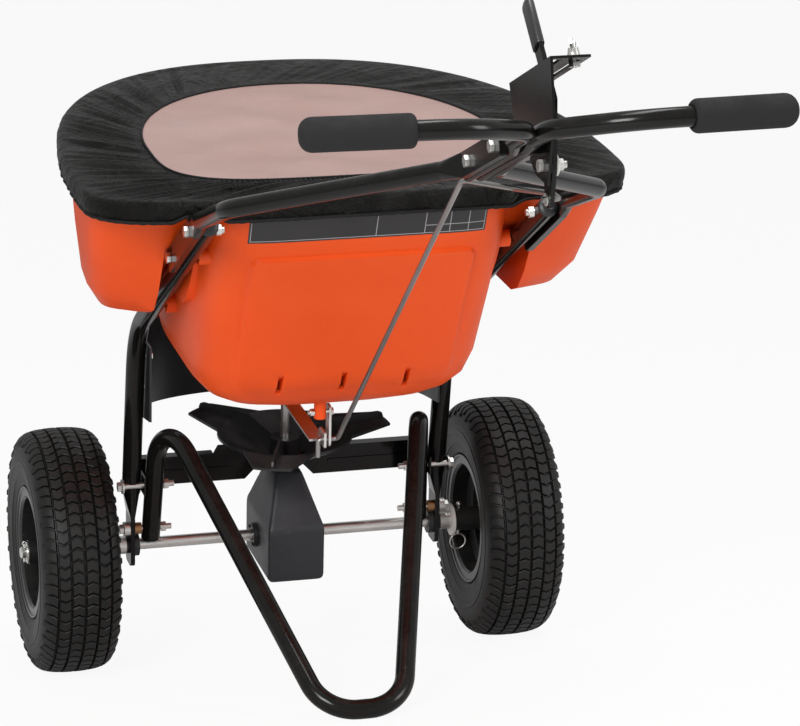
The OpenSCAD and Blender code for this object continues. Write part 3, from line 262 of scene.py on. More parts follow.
def object_space(tree, scale=None):
    """Object coordinates in metres, multiplied by the group's scale if there is one."""
    c = tree.nodes.new("ShaderNodeTexCoord").outputs["Object"]
    if scale is None:
        return c
    v = tree.nodes.new("ShaderNodeVectorMath")
    v.operation = "SCALE"
    tree.links.new(c, v.inputs[0])
    tree.links.new(scale, v.inputs["Scale"])
    return v.outputs[0]


def make_marks():
    """Slow colour drift, dust on upward faces, fine scratches and grain, all from 0 to 1."""
    g, start, end = new_group("surface_marks", ["Drift", "Dust", "Scratch", "Grain"])
    p = object_space(g, start.outputs[0])
    drift = noise(g, p, 7.0, 5.0)
    g.links.new(remap(g, drift, 0.3, 0.7), end.inputs["Drift"])
    geo = g.nodes.new("ShaderNodeNewGeometry")
    split = g.nodes.new("ShaderNodeSeparateXYZ")
    g.links.new(geo.outputs["Normal"], split.inputs[0])
    upward = remap(g, split.outputs["Z"], 0.15, 1.0)
    cloud = remap(g, noise(g, p, 26.0, 8.0, 0.7), 0.42, 0.72)
    g.links.new(math_node(g, "MULTIPLY", upward, cloud, True), end.inputs["Dust"])
    warped = g.nodes.new("ShaderNodeMapping")
    warped.inputs["Rotation"].default_value = (0.5, 0.9, 0.3)
    warped.inputs["Scale"].default_value = (1.0, 14.0, 3.0)
    g.links.new(p, warped.inputs["Vector"])
    lines = remap(g, noise(g, warped.outputs[0], 60.0, 3.0, 0.5, 0.4), 0.66, 0.72)
    where = remap(g, noise(g, p, 9.0, 2.0), 0.5, 0.62)
    g.links.new(math_node(g, "MULTIPLY", lines, where, True), end.inputs["Scratch"])
    g.links.new(noise(g, p, 900.0, 3.0, 0.6), end.inputs["Grain"])
    return g


def make_spangle():
    """Crystal grain of zinc plating and the fine lines of drawn wire, from 0 to 1."""
    g, start, end = new_group("zinc_spangle", ["Grain", "Lines"])
    p = object_space(g, start.outputs[0])
    v = g.nodes.new("ShaderNodeTexVoronoi")
    v.inputs["Scale"].default_value = 240.0
    g.links.new(p, v.inputs["Vector"])
    g.links.new(v.outputs["Distance"], end.inputs["Grain"])
    m = g.nodes.new("ShaderNodeMapping")
    m.inputs["Scale"].default_value = (1.0, 30.0, 30.0)
    g.links.new(p, m.inputs["Vector"])
    g.links.new(noise(g, m.outputs[0], 50.0, 6.0), end.inputs["Lines"])
    return g


def make_weave():
    """Height of a plain weave with pulled threads, and the crumple of thin cloth."""
    g, start, end = new_group("cloth_weave", ["Threads", "Crumple"])
    p = object_space(g, start.outputs[0])
    parts = []
    for direction in ("X", "Y"):
        w = g.nodes.new("ShaderNodeTexWave")
        w.bands_direction = direction
        w.inputs["Scale"].default_value = 190.0
        w.inputs["Distortion"].default_value = 0.6
        w.inputs["Detail"].default_value = 2.0
        g.links.new(p, w.inputs["Vector"])
        parts.append(w.outputs["Fac"])
    g.links.new(math_node(g, "MULTIPLY", parts[0], parts[1]), end.inputs["Threads"])
    g.links.new(noise(g, p, 16.0, 7.0, 0.62, 1.2), end.inputs["Crumple"])
    return g


def make_cells():
    """Small closed cells of foam, and the pits of cast rubber."""
    g, start, end = new_group("foam_cells", ["Cells", "Pits"])
    p = object_space(g, start.outputs[0])
    v = g.nodes.new("ShaderNodeTexVoronoi")
    v.feature = "SMOOTH_F1"
    v.inputs["Scale"].default_value = 900.0
    g.links.new(p, v.inputs["Vector"])
    g.links.new(v.outputs["Distance"], end.inputs["Cells"])
    g.links.new(remap(g, noise(g, p, 420.0, 4.0, 0.7), 0.55, 0.7), end.inputs["Pits"])
    return g


def use(tree, group, scale=1.0):
    """A node that runs a group at a scale."""
    n = tree.nodes.new("ShaderNodeGroup")
    n.node_tree = group
    n.inputs["Scale"].default_value = scale
    return n


def finish_of(name, colour, second, rough, rough_second, groups, metallic=0.0, coat=0.0, dust=0.0, scratch=0.0,
              scratch_colour=(0.4, 0.4, 0.4), bump="Grain", bump_group="marks", distance=0.0001, strength=0.4,
              sheen=0.0, scale=1.0, specular=0.5):
    """A material with drifting colour and roughness, dust, scratches and a fine relief."""
    m = bpy.data.materials.new(name)
    m.use_nodes = True
    t = m.node_tree
    shader = t.nodes["Principled BSDF"]
    marks = use(t, groups["marks"], scale)
    base = mix_colour(t, marks.outputs["Drift"], colour, second)
    base = mix_colour(t, math_node(t, "MULTIPLY", marks.outputs["Scratch"], scratch), base, scratch_colour)
    amount = math_node(t, "MULTIPLY", marks.outputs["Dust"], dust)
    base = mix_colour(t, amount, base, (0.42, 0.40, 0.37))
    t.links.new(base, shader.inputs["Base Color"])
    level = remap(t, marks.outputs["Drift"], 0.0, 1.0, rough, rough_second)
    level = math_node(t, "ADD", level, math_node(t, "MULTIPLY", marks.outputs["Dust"], dust * 0.5), True)
    t.links.new(level, shader.inputs["Roughness"])
    shader.inputs["Metallic"].default_value = metallic
    shader.inputs["Coat Weight"].default_value = coat
    shader.inputs["Coat Roughness"].default_value = 0.12
    shader.inputs["Sheen Weight"].default_value = sheen
    shader.inputs["Specular IOR Level"].default_value = specular
    source = marks if bump_group == "marks" else use(t, groups[bump_group], scale)
    b = t.nodes.new("ShaderNodeBump")
    b.inputs["Strength"].default_value = strength
    b.inputs["Distance"].default_value = distance
    t.links.new(source.outputs[bump], b.inputs["Height"])
    t.links.new(b.outputs["Normal"], shader.inputs["Normal"])
    return m


def make_materials(dust):
    """Every finish of the spreader by name."""
    g = {"marks": make_marks(), "spangle": make_spangle(), "weave": make_weave(), "cells": make_cells()}
    f = lambda name, *a, **k: finish_of(name, *a, g, **k)
    m = {
        "black_paint": f("black_powder_coat", (0.0045, 0.0042, 0.0038), (0.0075, 0.0071, 0.0066), 0.13, 0.2,
                         coat=0.06, specular=0.2, dust=dust * 0.4, scratch=0.06, distance=0.00004, strength=0.25),
        "rim_paint": f("black_rim_paint", (0.010, 0.010, 0.010), (0.018, 0.018, 0.017), 0.26, 0.4, coat=0.15,
                       dust=dust * 0.6, scratch=0.35, strength=0.3),
        "orange_plastic": f("orange_moulded_plastic", (0.80, 0.082, 0.006), (0.74, 0.070, 0.005), 0.42, 0.52,
                            dust=dust * 0.25, scratch=0.12, scratch_colour=(0.85, 0.3, 0.15), distance=0.00008,
                            strength=0.25, specular=0.26),
        "black_plastic": f("black_moulded_plastic", (0.009, 0.0095, 0.011), (0.014, 0.015, 0.017), 0.34, 0.48,
                           dust=dust, scratch=0.3, scratch_colour=(0.12, 0.12, 0.12), distance=0.0002, strength=0.5),
        "gearbox_plastic": f("grey_black_gearbox_plastic", (0.012, 0.013, 0.017), (0.018, 0.020, 0.025), 0.36, 0.48,
                             dust=dust, scratch=0.25, scratch_colour=(0.16, 0.16, 0.17), distance=0.0002,
                             strength=0.5),
        "zinc": f("zinc_plate", (0.74, 0.74, 0.72), (0.6, 0.59, 0.56), 0.24, 0.42, metallic=1.0, scratch=0.4,
                  scratch_colour=(0.3, 0.29, 0.27), bump="Grain", bump_group="spangle", distance=0.00005,
                  strength=0.3),
        "wire": f("drawn_steel_wire", (0.36, 0.35, 0.34), (0.24, 0.235, 0.23), 0.26, 0.42, metallic=1.0, scratch=0.3,
                  bump="Lines", bump_group="spangle", distance=0.00005, strength=0.3),
        "gear_steel": f("gear_steel", (0.22, 0.21, 0.2), (0.16, 0.155, 0.15), 0.4, 0.6, metallic=1.0, scratch=0.2,
                        bump="Lines", bump_group="spangle", distance=0.0001, strength=0.4),
        "bronze": f("bronze_spacer", (0.42, 0.24, 0.12), (0.3, 0.16, 0.08), 0.3, 0.5, metallic=1.0, scratch=0.3,
                    bump="Grain", bump_group="spangle", distance=0.00005, strength=0.3),
        "tyre_rubber": f("tyre_rubber", (0.005, 0.0048, 0.0045), (0.009, 0.0087, 0.0082), 0.4, 0.55, dust=dust * 0.35,
                         bump="Pits", bump_group="cells", distance=0.0002, strength=0.5, specular=0.3),
        "valve_rubber": f("valve_rubber", (0.016, 0.016, 0.016), (0.022, 0.022, 0.022), 0.5, 0.7, dust=dust,
                          bump="Pits", bump_group="cells", distance=0.0001),
        "nylon": f("white_nylon", (0.78, 0.78, 0.74), (0.7, 0.7, 0.66), 0.35, 0.5, dust=dust * 0.5, distance=0.0001),
        "foam": f("foam_grip", (0.014, 0.014, 0.0145), (0.020, 0.020, 0.021), 0.8, 0.95, dust=dust * 0.5,
                  bump="Cells", bump_group="cells", distance=0.0006, strength=0.6, specular=0.25),
        "vinyl": f("dipped_vinyl", (0.013, 0.013, 0.014), (0.02, 0.02, 0.021), 0.32, 0.46, coat=0.2, dust=dust,
                   distance=0.0001, strength=0.3),
        "cover_cloth": f("black_nylon_cloth", (0.0032, 0.0029, 0.0024), (0.0055, 0.0050, 0.0043), 0.3, 0.42,
                         dust=dust * 0.15, bump="Crumple", bump_group="weave", distance=0.03,
                         strength=1.0, specular=0.15),
        "cover_hem": f("black_nylon_hem", (0.0045, 0.0045, 0.005), (0.008, 0.008, 0.009), 0.55, 0.7,
                       bump="Threads", bump_group="weave", distance=0.0004, strength=0.6, specular=0.22),
        "label_black": f("label_film", (0.010, 0.010, 0.011), (0.013, 0.013, 0.014), 0.3, 0.38, distance=0.00003),
        "label_line": f("label_line", (0.34, 0.34, 0.35), (0.28, 0.28, 0.29), 0.35, 0.45, distance=0.00003),
        "thread": f("sewing_thread", (0.03, 0.03, 0.032), (0.05, 0.05, 0.052), 0.6, 0.75, bump="Threads",
                    bump_group="weave", distance=0.0002),
        "window_film": f("dusty_window_film", (0.53, 0.36, 0.325), (0.46, 0.30, 0.27), 0.34, 0.46, dust=dust * 0.5,
                         bump="Crumple", bump_group="weave", distance=0.005, strength=0.5),
    }
    film = m["window_film"].node_tree.nodes["Principled BSDF"]
    film.inputs["Alpha"].default_value = 0.86
    return m


CAD_FINISH = {
    "black_paint": "frame_tube_left frame_tube_right cross_member stand lower_handle_left lower_handle_right "
                   "handlebar_left handlebar_right control_bracket lever",
    "rim_paint": "rim_left rim_right",
    "black_plastic": "tube_caps gearbox_bushes axle_bearings shield shutter_rails outlet_plate impeller",
    "gearbox_plastic": "gearbox_cover",
    "zinc": "stand_bolts hopper_bolts handle_bolts axle hub_spacers drive_cotter end_cotters rod_clip crank "
            "shield_bolts crank_bolt lever_bolt rate_stop wing_nut shutter impeller_pin agitator upright_shaft "
            "gear_pin",
    "wire": "control_rod",
    "gear_steel": "crown_gear pinion",
    "bronze": "shaft_bearing stand_spacers",
    "tyre_rubber": "tyre_left tyre_right",
    "valve_rubber": "valve_left valve_right",
    "nylon": "hub_washers lever_washer",
    "foam": "grip_left grip_right",
    "vinyl": "lever_grip",
    "orange_plastic": "hopper",
    "cover_cloth": "rain_cover",
    "window_film": "cover_window",
}


def finish(name):
    """A finish made by the finishes operator."""
    kept = bpy.context.scene.spreader_looks.get("made", {})
    if name not in kept:
        raise RuntimeError("run the finishes operator first")
    return bpy.data.materials[kept[name]]


# ---------------------------------------------------------------- settings

class SpreaderLooks(bpy.types.PropertyGroup):
    dust: bpy.props.FloatProperty(name="Dust", description="Amount of dust on upward faces",
                                  default=0.10, min=0.0, max=1.0)
    rows: bpy.props.IntProperty(name="Tread rows", description="Rows of tread blocks round a tyre",
                                default=66, min=30, max=80)
    depth: bpy.props.FloatProperty(name="Tread depth", description="Height of the tread blocks in millimetres",
                                   default=4.6, min=1.0, max=6.0)
    gathers: bpy.props.IntProperty(name="Gathers", description="Main folds round the elastic hem",
                                   default=74, min=20, max=140)
    fold: bpy.props.FloatProperty(name="Fold depth", description="Depth of the hem's folds in millimetres",
                                  default=2.6, min=0.0, max=6.0)
    tub_drop: bpy.props.FloatProperty(name="Tub drop",
                                      description="Depth added at the tub's rear edge in millimetres",
                                      default=13.0, min=0.0, max=20.0)
    lobe_drop: bpy.props.FloatProperty(name="Lobe drop", description="Depth added to the side lobes in millimetres",
                                       default=13.0, min=0.0, max=20.0)
    sag: bpy.props.FloatProperty(name="Window sag", description="How far the window sags in millimetres",
                                 default=9.0, min=0.0, max=30.0)
    gearbox_edge: bpy.props.FloatProperty(name="Gearbox edges",
                                          description="Rounding of the gearbox cover in millimetres",
                                          default=6.0, min=0.5, max=12.0)
    camera_lens: bpy.props.FloatProperty(name="Lens", description="Focal length in millimetres", default=180.52)
    key: bpy.props.FloatProperty(name="Key light", description="Power of the key light", default=152.0, unit="POWER")


# ---------------------------------------------------------------- pieces

class SPREADER_OT_finishes(bpy.types.Operator):
    """Make the finishes and give one to every CAD node"""
    bl_idname = "spreader.finishes"
    bl_label = "Finishes"

    def execute(self, context):
        looks = context.scene.spreader_looks
        made = make_materials(looks.dust)
        looks["made"] = {k: m.name for k, m in made.items()}
        wanted = {n: k for k, names in CAD_FINISH.items() for n in names.split()}
        missing = sorted(set(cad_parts) - set(wanted))
        if missing:
            raise RuntimeError("no finish for " + ", ".join(missing))
        for n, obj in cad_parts.items():
            obj.data.materials.clear()
            obj.data.materials.append(made[wanted[n]])
        return {"FINISHED"}


def soften_panel(p):
    """Slopes the edge of the raised panel on the rear wall and lifts it towards its top."""
    x, y, z = p.T
    low, high, narrow, wide = PANEL
    face = (y < wall_y(x, z) - 1.7) & (np.abs(x) < wide + 4) & (z > low - 4) & (z < high + 4)
    half = narrow + (wide - narrow) * (z - low) / (high - low)
    inward = lambda d: PANEL_SLOPE * np.clip(1 - d / (3 * PANEL_SLOPE), 0, 1)
    x2 = x + inward(x + half) - inward(half - x)
    z2 = z + inward(z - low) - inward(high - z)
    y2 = y + wall_y(x2, z2) - wall_y(x, z) - PANEL_RISE * step((z - low) / 90)
    return np.where(face[:, None], np.stack([x2, y2, z2], -1), p)


def settle_hopper(p):
    """Deepens the tub's rear lower edge and the side lobes, and tapers the lobes to the front."""
    looks = bpy.context.scene.spreader_looks
    x, y, z = p.T
    away = np.hypot(x, y)
    post = (np.hypot(x - POST[0], y - POST[1]) < POST[2]) & (z < POST[3])
    tub = step((430 - z) / 110) * step((away - 80) / 90) * (np.abs(x) < TUB_HALF) * ~post
    lobe = step((np.abs(x) - TUB_HALF) / 30)
    drop = looks.tub_drop * tub + looks.lobe_drop * lobe * step((570 - z) / 110) * (np.abs(x) >= TUB_HALF)
    front = LOBE_TAPER * step((y + 235) / 160) * step((598 - z) / 40)
    wide = np.where(np.abs(x) > TUB_HALF, TUB_HALF + (np.abs(x) - TUB_HALF) * (1 - front), np.abs(x))
    return np.stack([np.sign(x) * wide, y, z - drop], -1)


class SPREADER_OT_hopper(bpy.types.Operator):
    """Smooth-shaded hopper shell with softened edges"""
    bl_idname = "spreader.hopper"
    bl_label = "Hopper"

    def execute(self, context):
        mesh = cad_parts["hopper"].data.copy()
        mesh.name = "hopper_shell"
        work = bmesh.new()
        work.from_mesh(mesh)
        bmesh.ops.remove_doubles(work, verts=work.verts, dist=0.00002)
        bmesh.ops.recalc_face_normals(work, faces=work.faces)
        work.to_mesh(mesh)
        work.free()
        shape = at(settle_hopper(soften_panel(machine([v.co for v in mesh.vertices]))))
        mesh.vertices.foreach_set("co", shape.ravel())
        if "custom_normal" in mesh.attributes:
            mesh.attributes.remove(mesh.attributes["custom_normal"])
        mesh.shade_smooth()
        mesh.set_sharp_from_angle(angle=math.radians(32))
        mesh.materials.clear()
        mesh.materials.append(finish("orange_plastic"))
        shell = bpy.data.objects.new("hopper_shell", mesh)
        context.scene.collection.objects.link(shell)
        soft = shell.modifiers.new("soft_edges", "BEVEL")
        soft.width = 0.0016
        soft.segments = 2
        soft.limit_method = "ANGLE"
        soft.angle_limit = math.radians(40)
        soft.use_clamp_overlap = True
        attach(shell, "frame")
        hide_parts("hopper")
        return {"FINISHED"}


def wall_y(x, z):
    """How far to the rear the tub's rear wall stands at x and height z."""
    a, yc, yr, e = (np.interp(z, WALL[:, 0], WALL[:, i]) for i in (1, 2, 3, 4))
    c = np.minimum(1.0, np.abs(x) / a) ** (1.0 / e)
    return yc + (yr - yc) * np.sqrt(np.maximum(0.0, 1 - c * c)) ** e


def wall_point(x, z, off):
    """Point on the tub's rear wall at x and height z, moved rearward by off."""
    return [x, float(wall_y(x, z)) - off, z]


def wall_patch(x0, x1, z0, z1, off, nx, nz):
    """A thin patch that follows the rear wall."""
    xs, zs = np.linspace(x0, x1, nx), np.linspace(z0, z1, nz)
    return at([wall_point(x, z, off) for z in zs for x in xs]), grid_faces(nz, nx, False)


class SPREADER_OT_shield(bpy.types.Operator):
    """Moulded shield round the front of the impeller, its lower edge level with the ground"""
    bl_idname = "spreader.shield"
    bl_label = "Shield"

    def execute(self, context):
        n, rows = 121, 9
        outlines = []  # outer and inner outline in plan
        for grow in (0.0, -SHIELD_THICK):
            r, f = SHIELD_X + grow, SHIELD_FRONT + grow
            a = np.linspace(math.pi, 0, n)
            arc = np.column_stack([r * np.cos(a), f * np.sin(a) ** 0.9])
            ends = [np.array([[-r, SHIELD_REAR]]), np.array([[r, SHIELD_REAR]])]
            outlines.append(np.concatenate([ends[0], arc, ends[1]]))
        verts, n = [], n + 2
        for outline, order in ((outlines[0], range(rows)), (outlines[1], range(rows - 1, -1, -1))):
            low = SHIELD_EDGE - (outline[:, 1] - SHIELD_REAR) * math.tan(LEAN)
            for k in order:
                verts.append(np.column_stack([outline, low + (SHIELD_TOP - low) * k / (rows - 1)]))
        verts.append(verts[0])
        faces = grid_faces(len(verts), n, False)
        strip = [i * n for i in range(2 * rows)]
        faces += [(strip[k], strip[k + 1], strip[2 * rows - 2 - k], strip[2 * rows - 1 - k])
                  for k in range(rows - 1)]
        last = [i + n - 1 for i in strip]
        faces += [(last[2 * rows - 1 - k], last[2 * rows - 2 - k], last[k + 1], last[k])
                  for k in range(rows - 1)]
        mould = piece("shield_mould", at(np.concatenate(verts)), faces, finish("black_plastic"), "frame", 40)
        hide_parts("shield")
        return {"FINISHED"}


class SPREADER_OT_label(bpy.types.Operator):
    """Bare instruction panel with ruled lines on the rear wall"""
    bl_idname = "spreader.label"
    bl_label = "Label panel"

    def execute(self, context):
        left, right, low, high = LABEL
        verts, faces = wall_patch(left, right, low, high, LABEL_OFF, 80, 12)
        piece("label_panel", verts, faces, finish("label_black"), "frame")
        strips = [(left + 2, right - 2, low + 2, low + 3), (left + 2, left + 3, low + 3, high),
                  (right - 3, right - 2, low + 3, high)]
        strips += [(x, x + 1, low + 3, high) for x in LABEL_RULES]
        strips.append((72, right - 3, low + 13, low + 14))
        verts, faces = joined(wall_patch(x0, x1, z0, z1, LINE_OFF, int((x1 - x0) / 5) + 2, int((z1 - z0) / 6) + 2)
                              for x0, x1, z0, z1 in strips)
        piece("label_lines", verts, faces, finish("label_line"), "frame")
        return {"FINISHED"}


class SPREADER_OT_cover(bpy.types.Operator):
    """Fabric cover with gathered hem, clear window, seam and stitches"""
    bl_idname = "spreader.cover"
    bl_label = "Rain cover"

    def execute(self, context):
        looks = context.scene.spreader_looks
        n = COVER_POINTS
        t = np.arange(n) / n
        rim, win = plan(RIM, n), plan(WINDOW, n)
        out = outward(rim)
        fold = ripple(t, [looks.gathers, looks.gathers + 9, 31, 52], FOLD_SEED)
        fine = ripple(t, [131, 167, 203], FOLD_SEED + 1)
        slack = ripple(t, [9, 14, 23, 5], FOLD_SEED + 2)
        pull = ripple(t, [12, 19, 27, 38], FOLD_SEED + 3)
        # The hem is lifted where it passes over the ends of the frame tubes and the handle.
        near = step((250 - np.abs(rim[:, 0])) / 22) * step((np.abs(rim[:, 0]) - 176) / 22) * (rim[:, 1] < -380)
        # Drawn folds run from the hem towards the window, strongest on the left side and at the rear.
        streak = ripple(t, [43, 61, 88, 117], FOLD_SEED + 4) * (0.5 + 0.9 * step((-rim[:, 0] + 40) / 250)
                                                                 + 0.5 * step((-rim[:, 1] - 250) / 150))
        rows = []
        for i in range(CLOTH_ROWS):
            k = i / CLOTH_ROWS
            p = win + (rim - win) * k
            bow = math.sin(math.pi * k)
            z = RIM_TOP + 4.0 - 2.2 * (1 - k) + bow * (2.6 * slack + 2.8 * pull + 3.4 * streak)
            z = z + (0.5 * fine + 1.2 * fold) * k * k
            rows.append(np.column_stack([p, z]))
        for push, z, share in HEM_ROWS:
            way = push + share * (looks.fold * fold + 0.5 * fine) + 2.0 * slack * share
            p = rim + out * np.maximum(way, 0.6 + 0.4 * share)[:, None]
            up = z + share * (1.6 * slack + 0.8 * fold) + near * 8.0 * step((612 - z) / 22)
            rows.append(np.column_stack([p, np.broadcast_to(up, (n,))]))
        verts = at(np.concatenate(rows))
        cover = piece("rain_cover_cloth", verts, grid_faces(len(rows), n), finish("cover_cloth"), "frame", 80)
        hem_path = rows[-1].copy()
        hem_path[:, 2] -= 1.2
        v, f = tube(hem_path, 2.6 + 0.7 * fine, 8)
        hem = piece("rain_cover_hem", at(v), f, finish("cover_hem"), "frame", 80)
        seam = np.column_stack([win + outward(win) * 1.5, rows[0][:, 2] + 0.9])
        v, f = tube(seam, 1.5, 8)
        piping = piece("window_piping", at(v), f, finish("cover_hem"), "frame", 80)
        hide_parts("rain_cover")
        # Window film: rings drawn in towards its middle.
        m = FILM_RINGS
        centre = np.array([0.0, (WINDOW[2] + WINDOW[3]) / 2 + 6])
        win_rows = []
        for i in range(m):
            k = 1 - (i / (m - 1)) * 0.985
            p = centre + (win[::2] - centre) * k
            bend = 1.7 * np.sin(p[:, 0] / 23 + 2.1 * np.sin(p[:, 1] / 61)) * math.sin(math.pi * k) ** 0.7
            cross = 1.1 * np.sin(p[:, 1] / 17 + 1.7 * np.sin(p[:, 0] / 47)) * math.sin(math.pi * k)
            z = RIM_TOP + 1.8 - looks.sag * (1 - k * k) + bend + cross
            win_rows.append(np.column_stack([p, z]))
        verts = np.concatenate(win_rows)
        faces = grid_faces(m, n // 2)
        faces.append(tuple(range((m - 1) * (n // 2), m * (n // 2))))
        film = piece("cover_window_film", at(verts), faces, finish("window_film"), "frame", 80)
        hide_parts("cover_window")
        self.stitches(rows, win)
        return {"FINISHED"}

    def stitches(self, rows, win):
        """Two rows of short stitches round the window."""
        threads = []
        for row, away in ((0, 6.5), (1, 10.5)):
            path = np.column_stack([win + outward(win) * away, rows[row][:, 2] + STITCH_LIFT])
            threads += [tube(path[i:i + 3], [0.25, 0.45, 0.25], 5, False) for i in range(0, len(path) - 2, 4)]
        verts, faces = joined(threads)
        piece("cover_stitches", at(verts), faces, finish("thread"), "frame", 80)


# Section of a tyre as distance from the middle and radius: from the bead over one side to the middle of the
# tread, and back inside from there.
TYRE_SIDE = [[36, 92], [36, 77], [42.7, 76.6], [44.7, 79.8], [44.7, 85.2], [44.1, 89.0], [47.2, 90.8],
             [49.2, 93.6], [50.2, 97.0], [50.0, 98.2], [50.8, 99.4], [51.0, 103.0], [52.0, 104.0],
             [52.2, 108.0], [52.9, 112.0], [53.5, 117.0], [53.4, 118.4], [54.1, 119.8], [54.2, 124.0],
             [53.4, 125.4], [53.6, 129.0], [53.0, 134.0], [51.6, 140.0], [49.4, 145.6], [46.2, 150.2],
             [42.0, 153.6], [36.6, 156.2], [30.6, 158.1], [23.8, 159.2], [16.0, 159.9], [8.0, 160.3]]
TYRE_INSIDE = [[0, 153], [28, 151], [42, 140], [46, 125], [44, 108]]


def tread_profile():
    """The tyre's outer profile over the tread as arc length, distance from the middle and radius."""
    p = np.array([[0, 165.0], [8, 164.9], [16, 164.5], [24, 163.8], [31, 162.7], [37, 161.2], [42.5, 158.8],
                  [47, 155.2], [50.4, 150.6], [52.6, 145.4], [53.9, 139.5], [54.3, 133.0]])
    u = np.concatenate([[0], np.cumsum(np.linalg.norm(np.diff(p, axis=0), axis=1))])
    return u, p


def block(u_table, profile, stations, depth, turn):
    """One tread block: stations of (arc length, first and last place round the tyre in millimetres)."""
    verts = []
    k = len(stations)
    for j, (u, lo, hi) in enumerate(stations):
        inset = 0.8
        end = inset if j == 0 else (-inset if j == k - 1 else 0.0)
        for down, side, along in ((depth, -0.5, -end * 0.6), (0.7, 0.0, 0.0), (0.0, inset, end),
                                  (0.0, inset, end), (0.7, 0.0, 0.0), (depth, -0.5, -end * 0.6)):
            w = u + along
            s = 1 if w >= 0 else -1
            x = np.interp(abs(w), u_table, profile[:, 0])
            r = np.interp(abs(w), u_table, profile[:, 1])
            ahead = np.interp(abs(w) + 1, u_table, profile[:, 0]), np.interp(abs(w) + 1, u_table, profile[:, 1])
            tx, tr = ahead[0] - x, ahead[1] - r
            size = math.hypot(tx, tr) or 1.0
            nx, nr = -tr / size, tx / size
            x, r = x - nx * down, r - nr * down
            index = len(verts) % 6
            place = (lo + side) if index < 3 else (hi - side)
            a = turn + place / TYRE_RADIUS
            verts.append([s * x, r * math.cos(a), r * math.sin(a)])
    faces = [(j * 6 + i, j * 6 + i + 1, j * 6 + i + 7, j * 6 + i + 6) for j in range(k - 1) for i in range(5)]
    faces += [(0, 1, 2, 3, 4, 5), tuple((k - 1) * 6 + i for i in (5, 4, 3, 2, 1, 0))]
    return verts, faces


class SPREADER_OT_tyres(bpy.types.Operator):
    """Turf tyres with moulded tread blocks and ribbed shoulders"""
    bl_idname = "spreader.tyres"
    bl_label = "Tyres"

    def execute(self, context):
        looks = context.scene.spreader_looks
        depth = looks.depth
        loop = np.array(TYRE_SIDE + [[0, 160.4]] + [[-x, r] for x, r in reversed(TYRE_SIDE)]
                        + [[-x, r] for x, r in reversed(TYRE_INSIDE[1:])] + TYRE_INSIDE, float)
        segments = 180
        a = np.arange(segments) * 2 * np.pi / segments
        ring = np.stack([np.broadcast_to(loop[:, 0], (segments, len(loop))), np.cos(a)[:, None] * loop[:, 1],
                         np.sin(a)[:, None] * loop[:, 1]], -1)
        k = len(loop)
        following = [(i + 1) % segments for i in range(segments)]
        faces = [(i * k + j, i * k + (j + 1) % k, following[i] * k + (j + 1) % k, following[i] * k + j)
                 for i in range(segments) for j in range(k)]
        u_table, profile = tread_profile()
        pitch = 2 * math.pi * TYRE_RADIUS / looks.rows
        made = [(ring.reshape(-1, 3), faces)]
        for i in range(looks.rows):
            turn = 2 * math.pi * i / looks.rows
            half = math.pi / looks.rows
            for s in (-1, 1):
                for stations, stagger in TREAD:
                    line = [(s * u, lo * pitch, hi * pitch) for u, lo, hi in stations]
                    made.append(block(u_table, profile, line[::s], depth, turn + stagger * half * s))
                end = 62.0 if i % 2 == 0 else 56.0
                lug = [(s * u, lo * pitch, hi * pitch) for u, lo, hi in ((36.8, 0.30, 1.12), (42.0, 0.12, 0.94),
                                                                        (48.0, 0.08, 0.84), (end, 0.18, 0.72))]
                made.append(block(u_table, profile, lug[::s], min(depth, 3.6), turn))
        verts, faces = joined(made)
        for name, x, body in (("tyre_right", WHEEL_X, "axle_set"), ("tyre_left", -WHEEL_X, "left_wheel")):
            placed = verts * [1 if x > 0 else -1, 1, 1] + [x, 0, 0]
            tyre = piece(name + "_tread", at(placed), faces, finish("tyre_rubber"), body, 28)
            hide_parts(name)
        return {"FINISHED"}


def revolve(name, start, direction, profile, material, body, sides=32):
    """A turned piece: profile of (distance along, radius) in millimetres from a start point in metres."""
    d = np.asarray(direction, float)
    d /= np.linalg.norm(d)
    s = np.cross(d, [0, 0, 1.0] if abs(d[2]) < 0.9 else [1.0, 0, 0])
    s /= np.linalg.norm(s)
    q = np.cross(d, s)
    a = np.arange(sides) * 2 * np.pi / sides
    ring = s * np.cos(a)[:, None] + q * np.sin(a)[:, None]
    rows = [np.asarray(start, float) + (d * w + r * ring) / 1000 for w, r in profile]
    last = (len(rows) - 1) * sides
    faces = grid_faces(len(rows), sides) + [tuple(range(sides)), tuple(range(last, last + sides))]
    return piece(name, np.concatenate(rows), faces, material, body)


def node_points(name):
    """World points of a CAD node, welded."""
    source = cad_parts[name]
    p = np.array([source.matrix_world @ v.co for v in source.data.vertices])
    return np.unique(np.round(p, 5), axis=0)


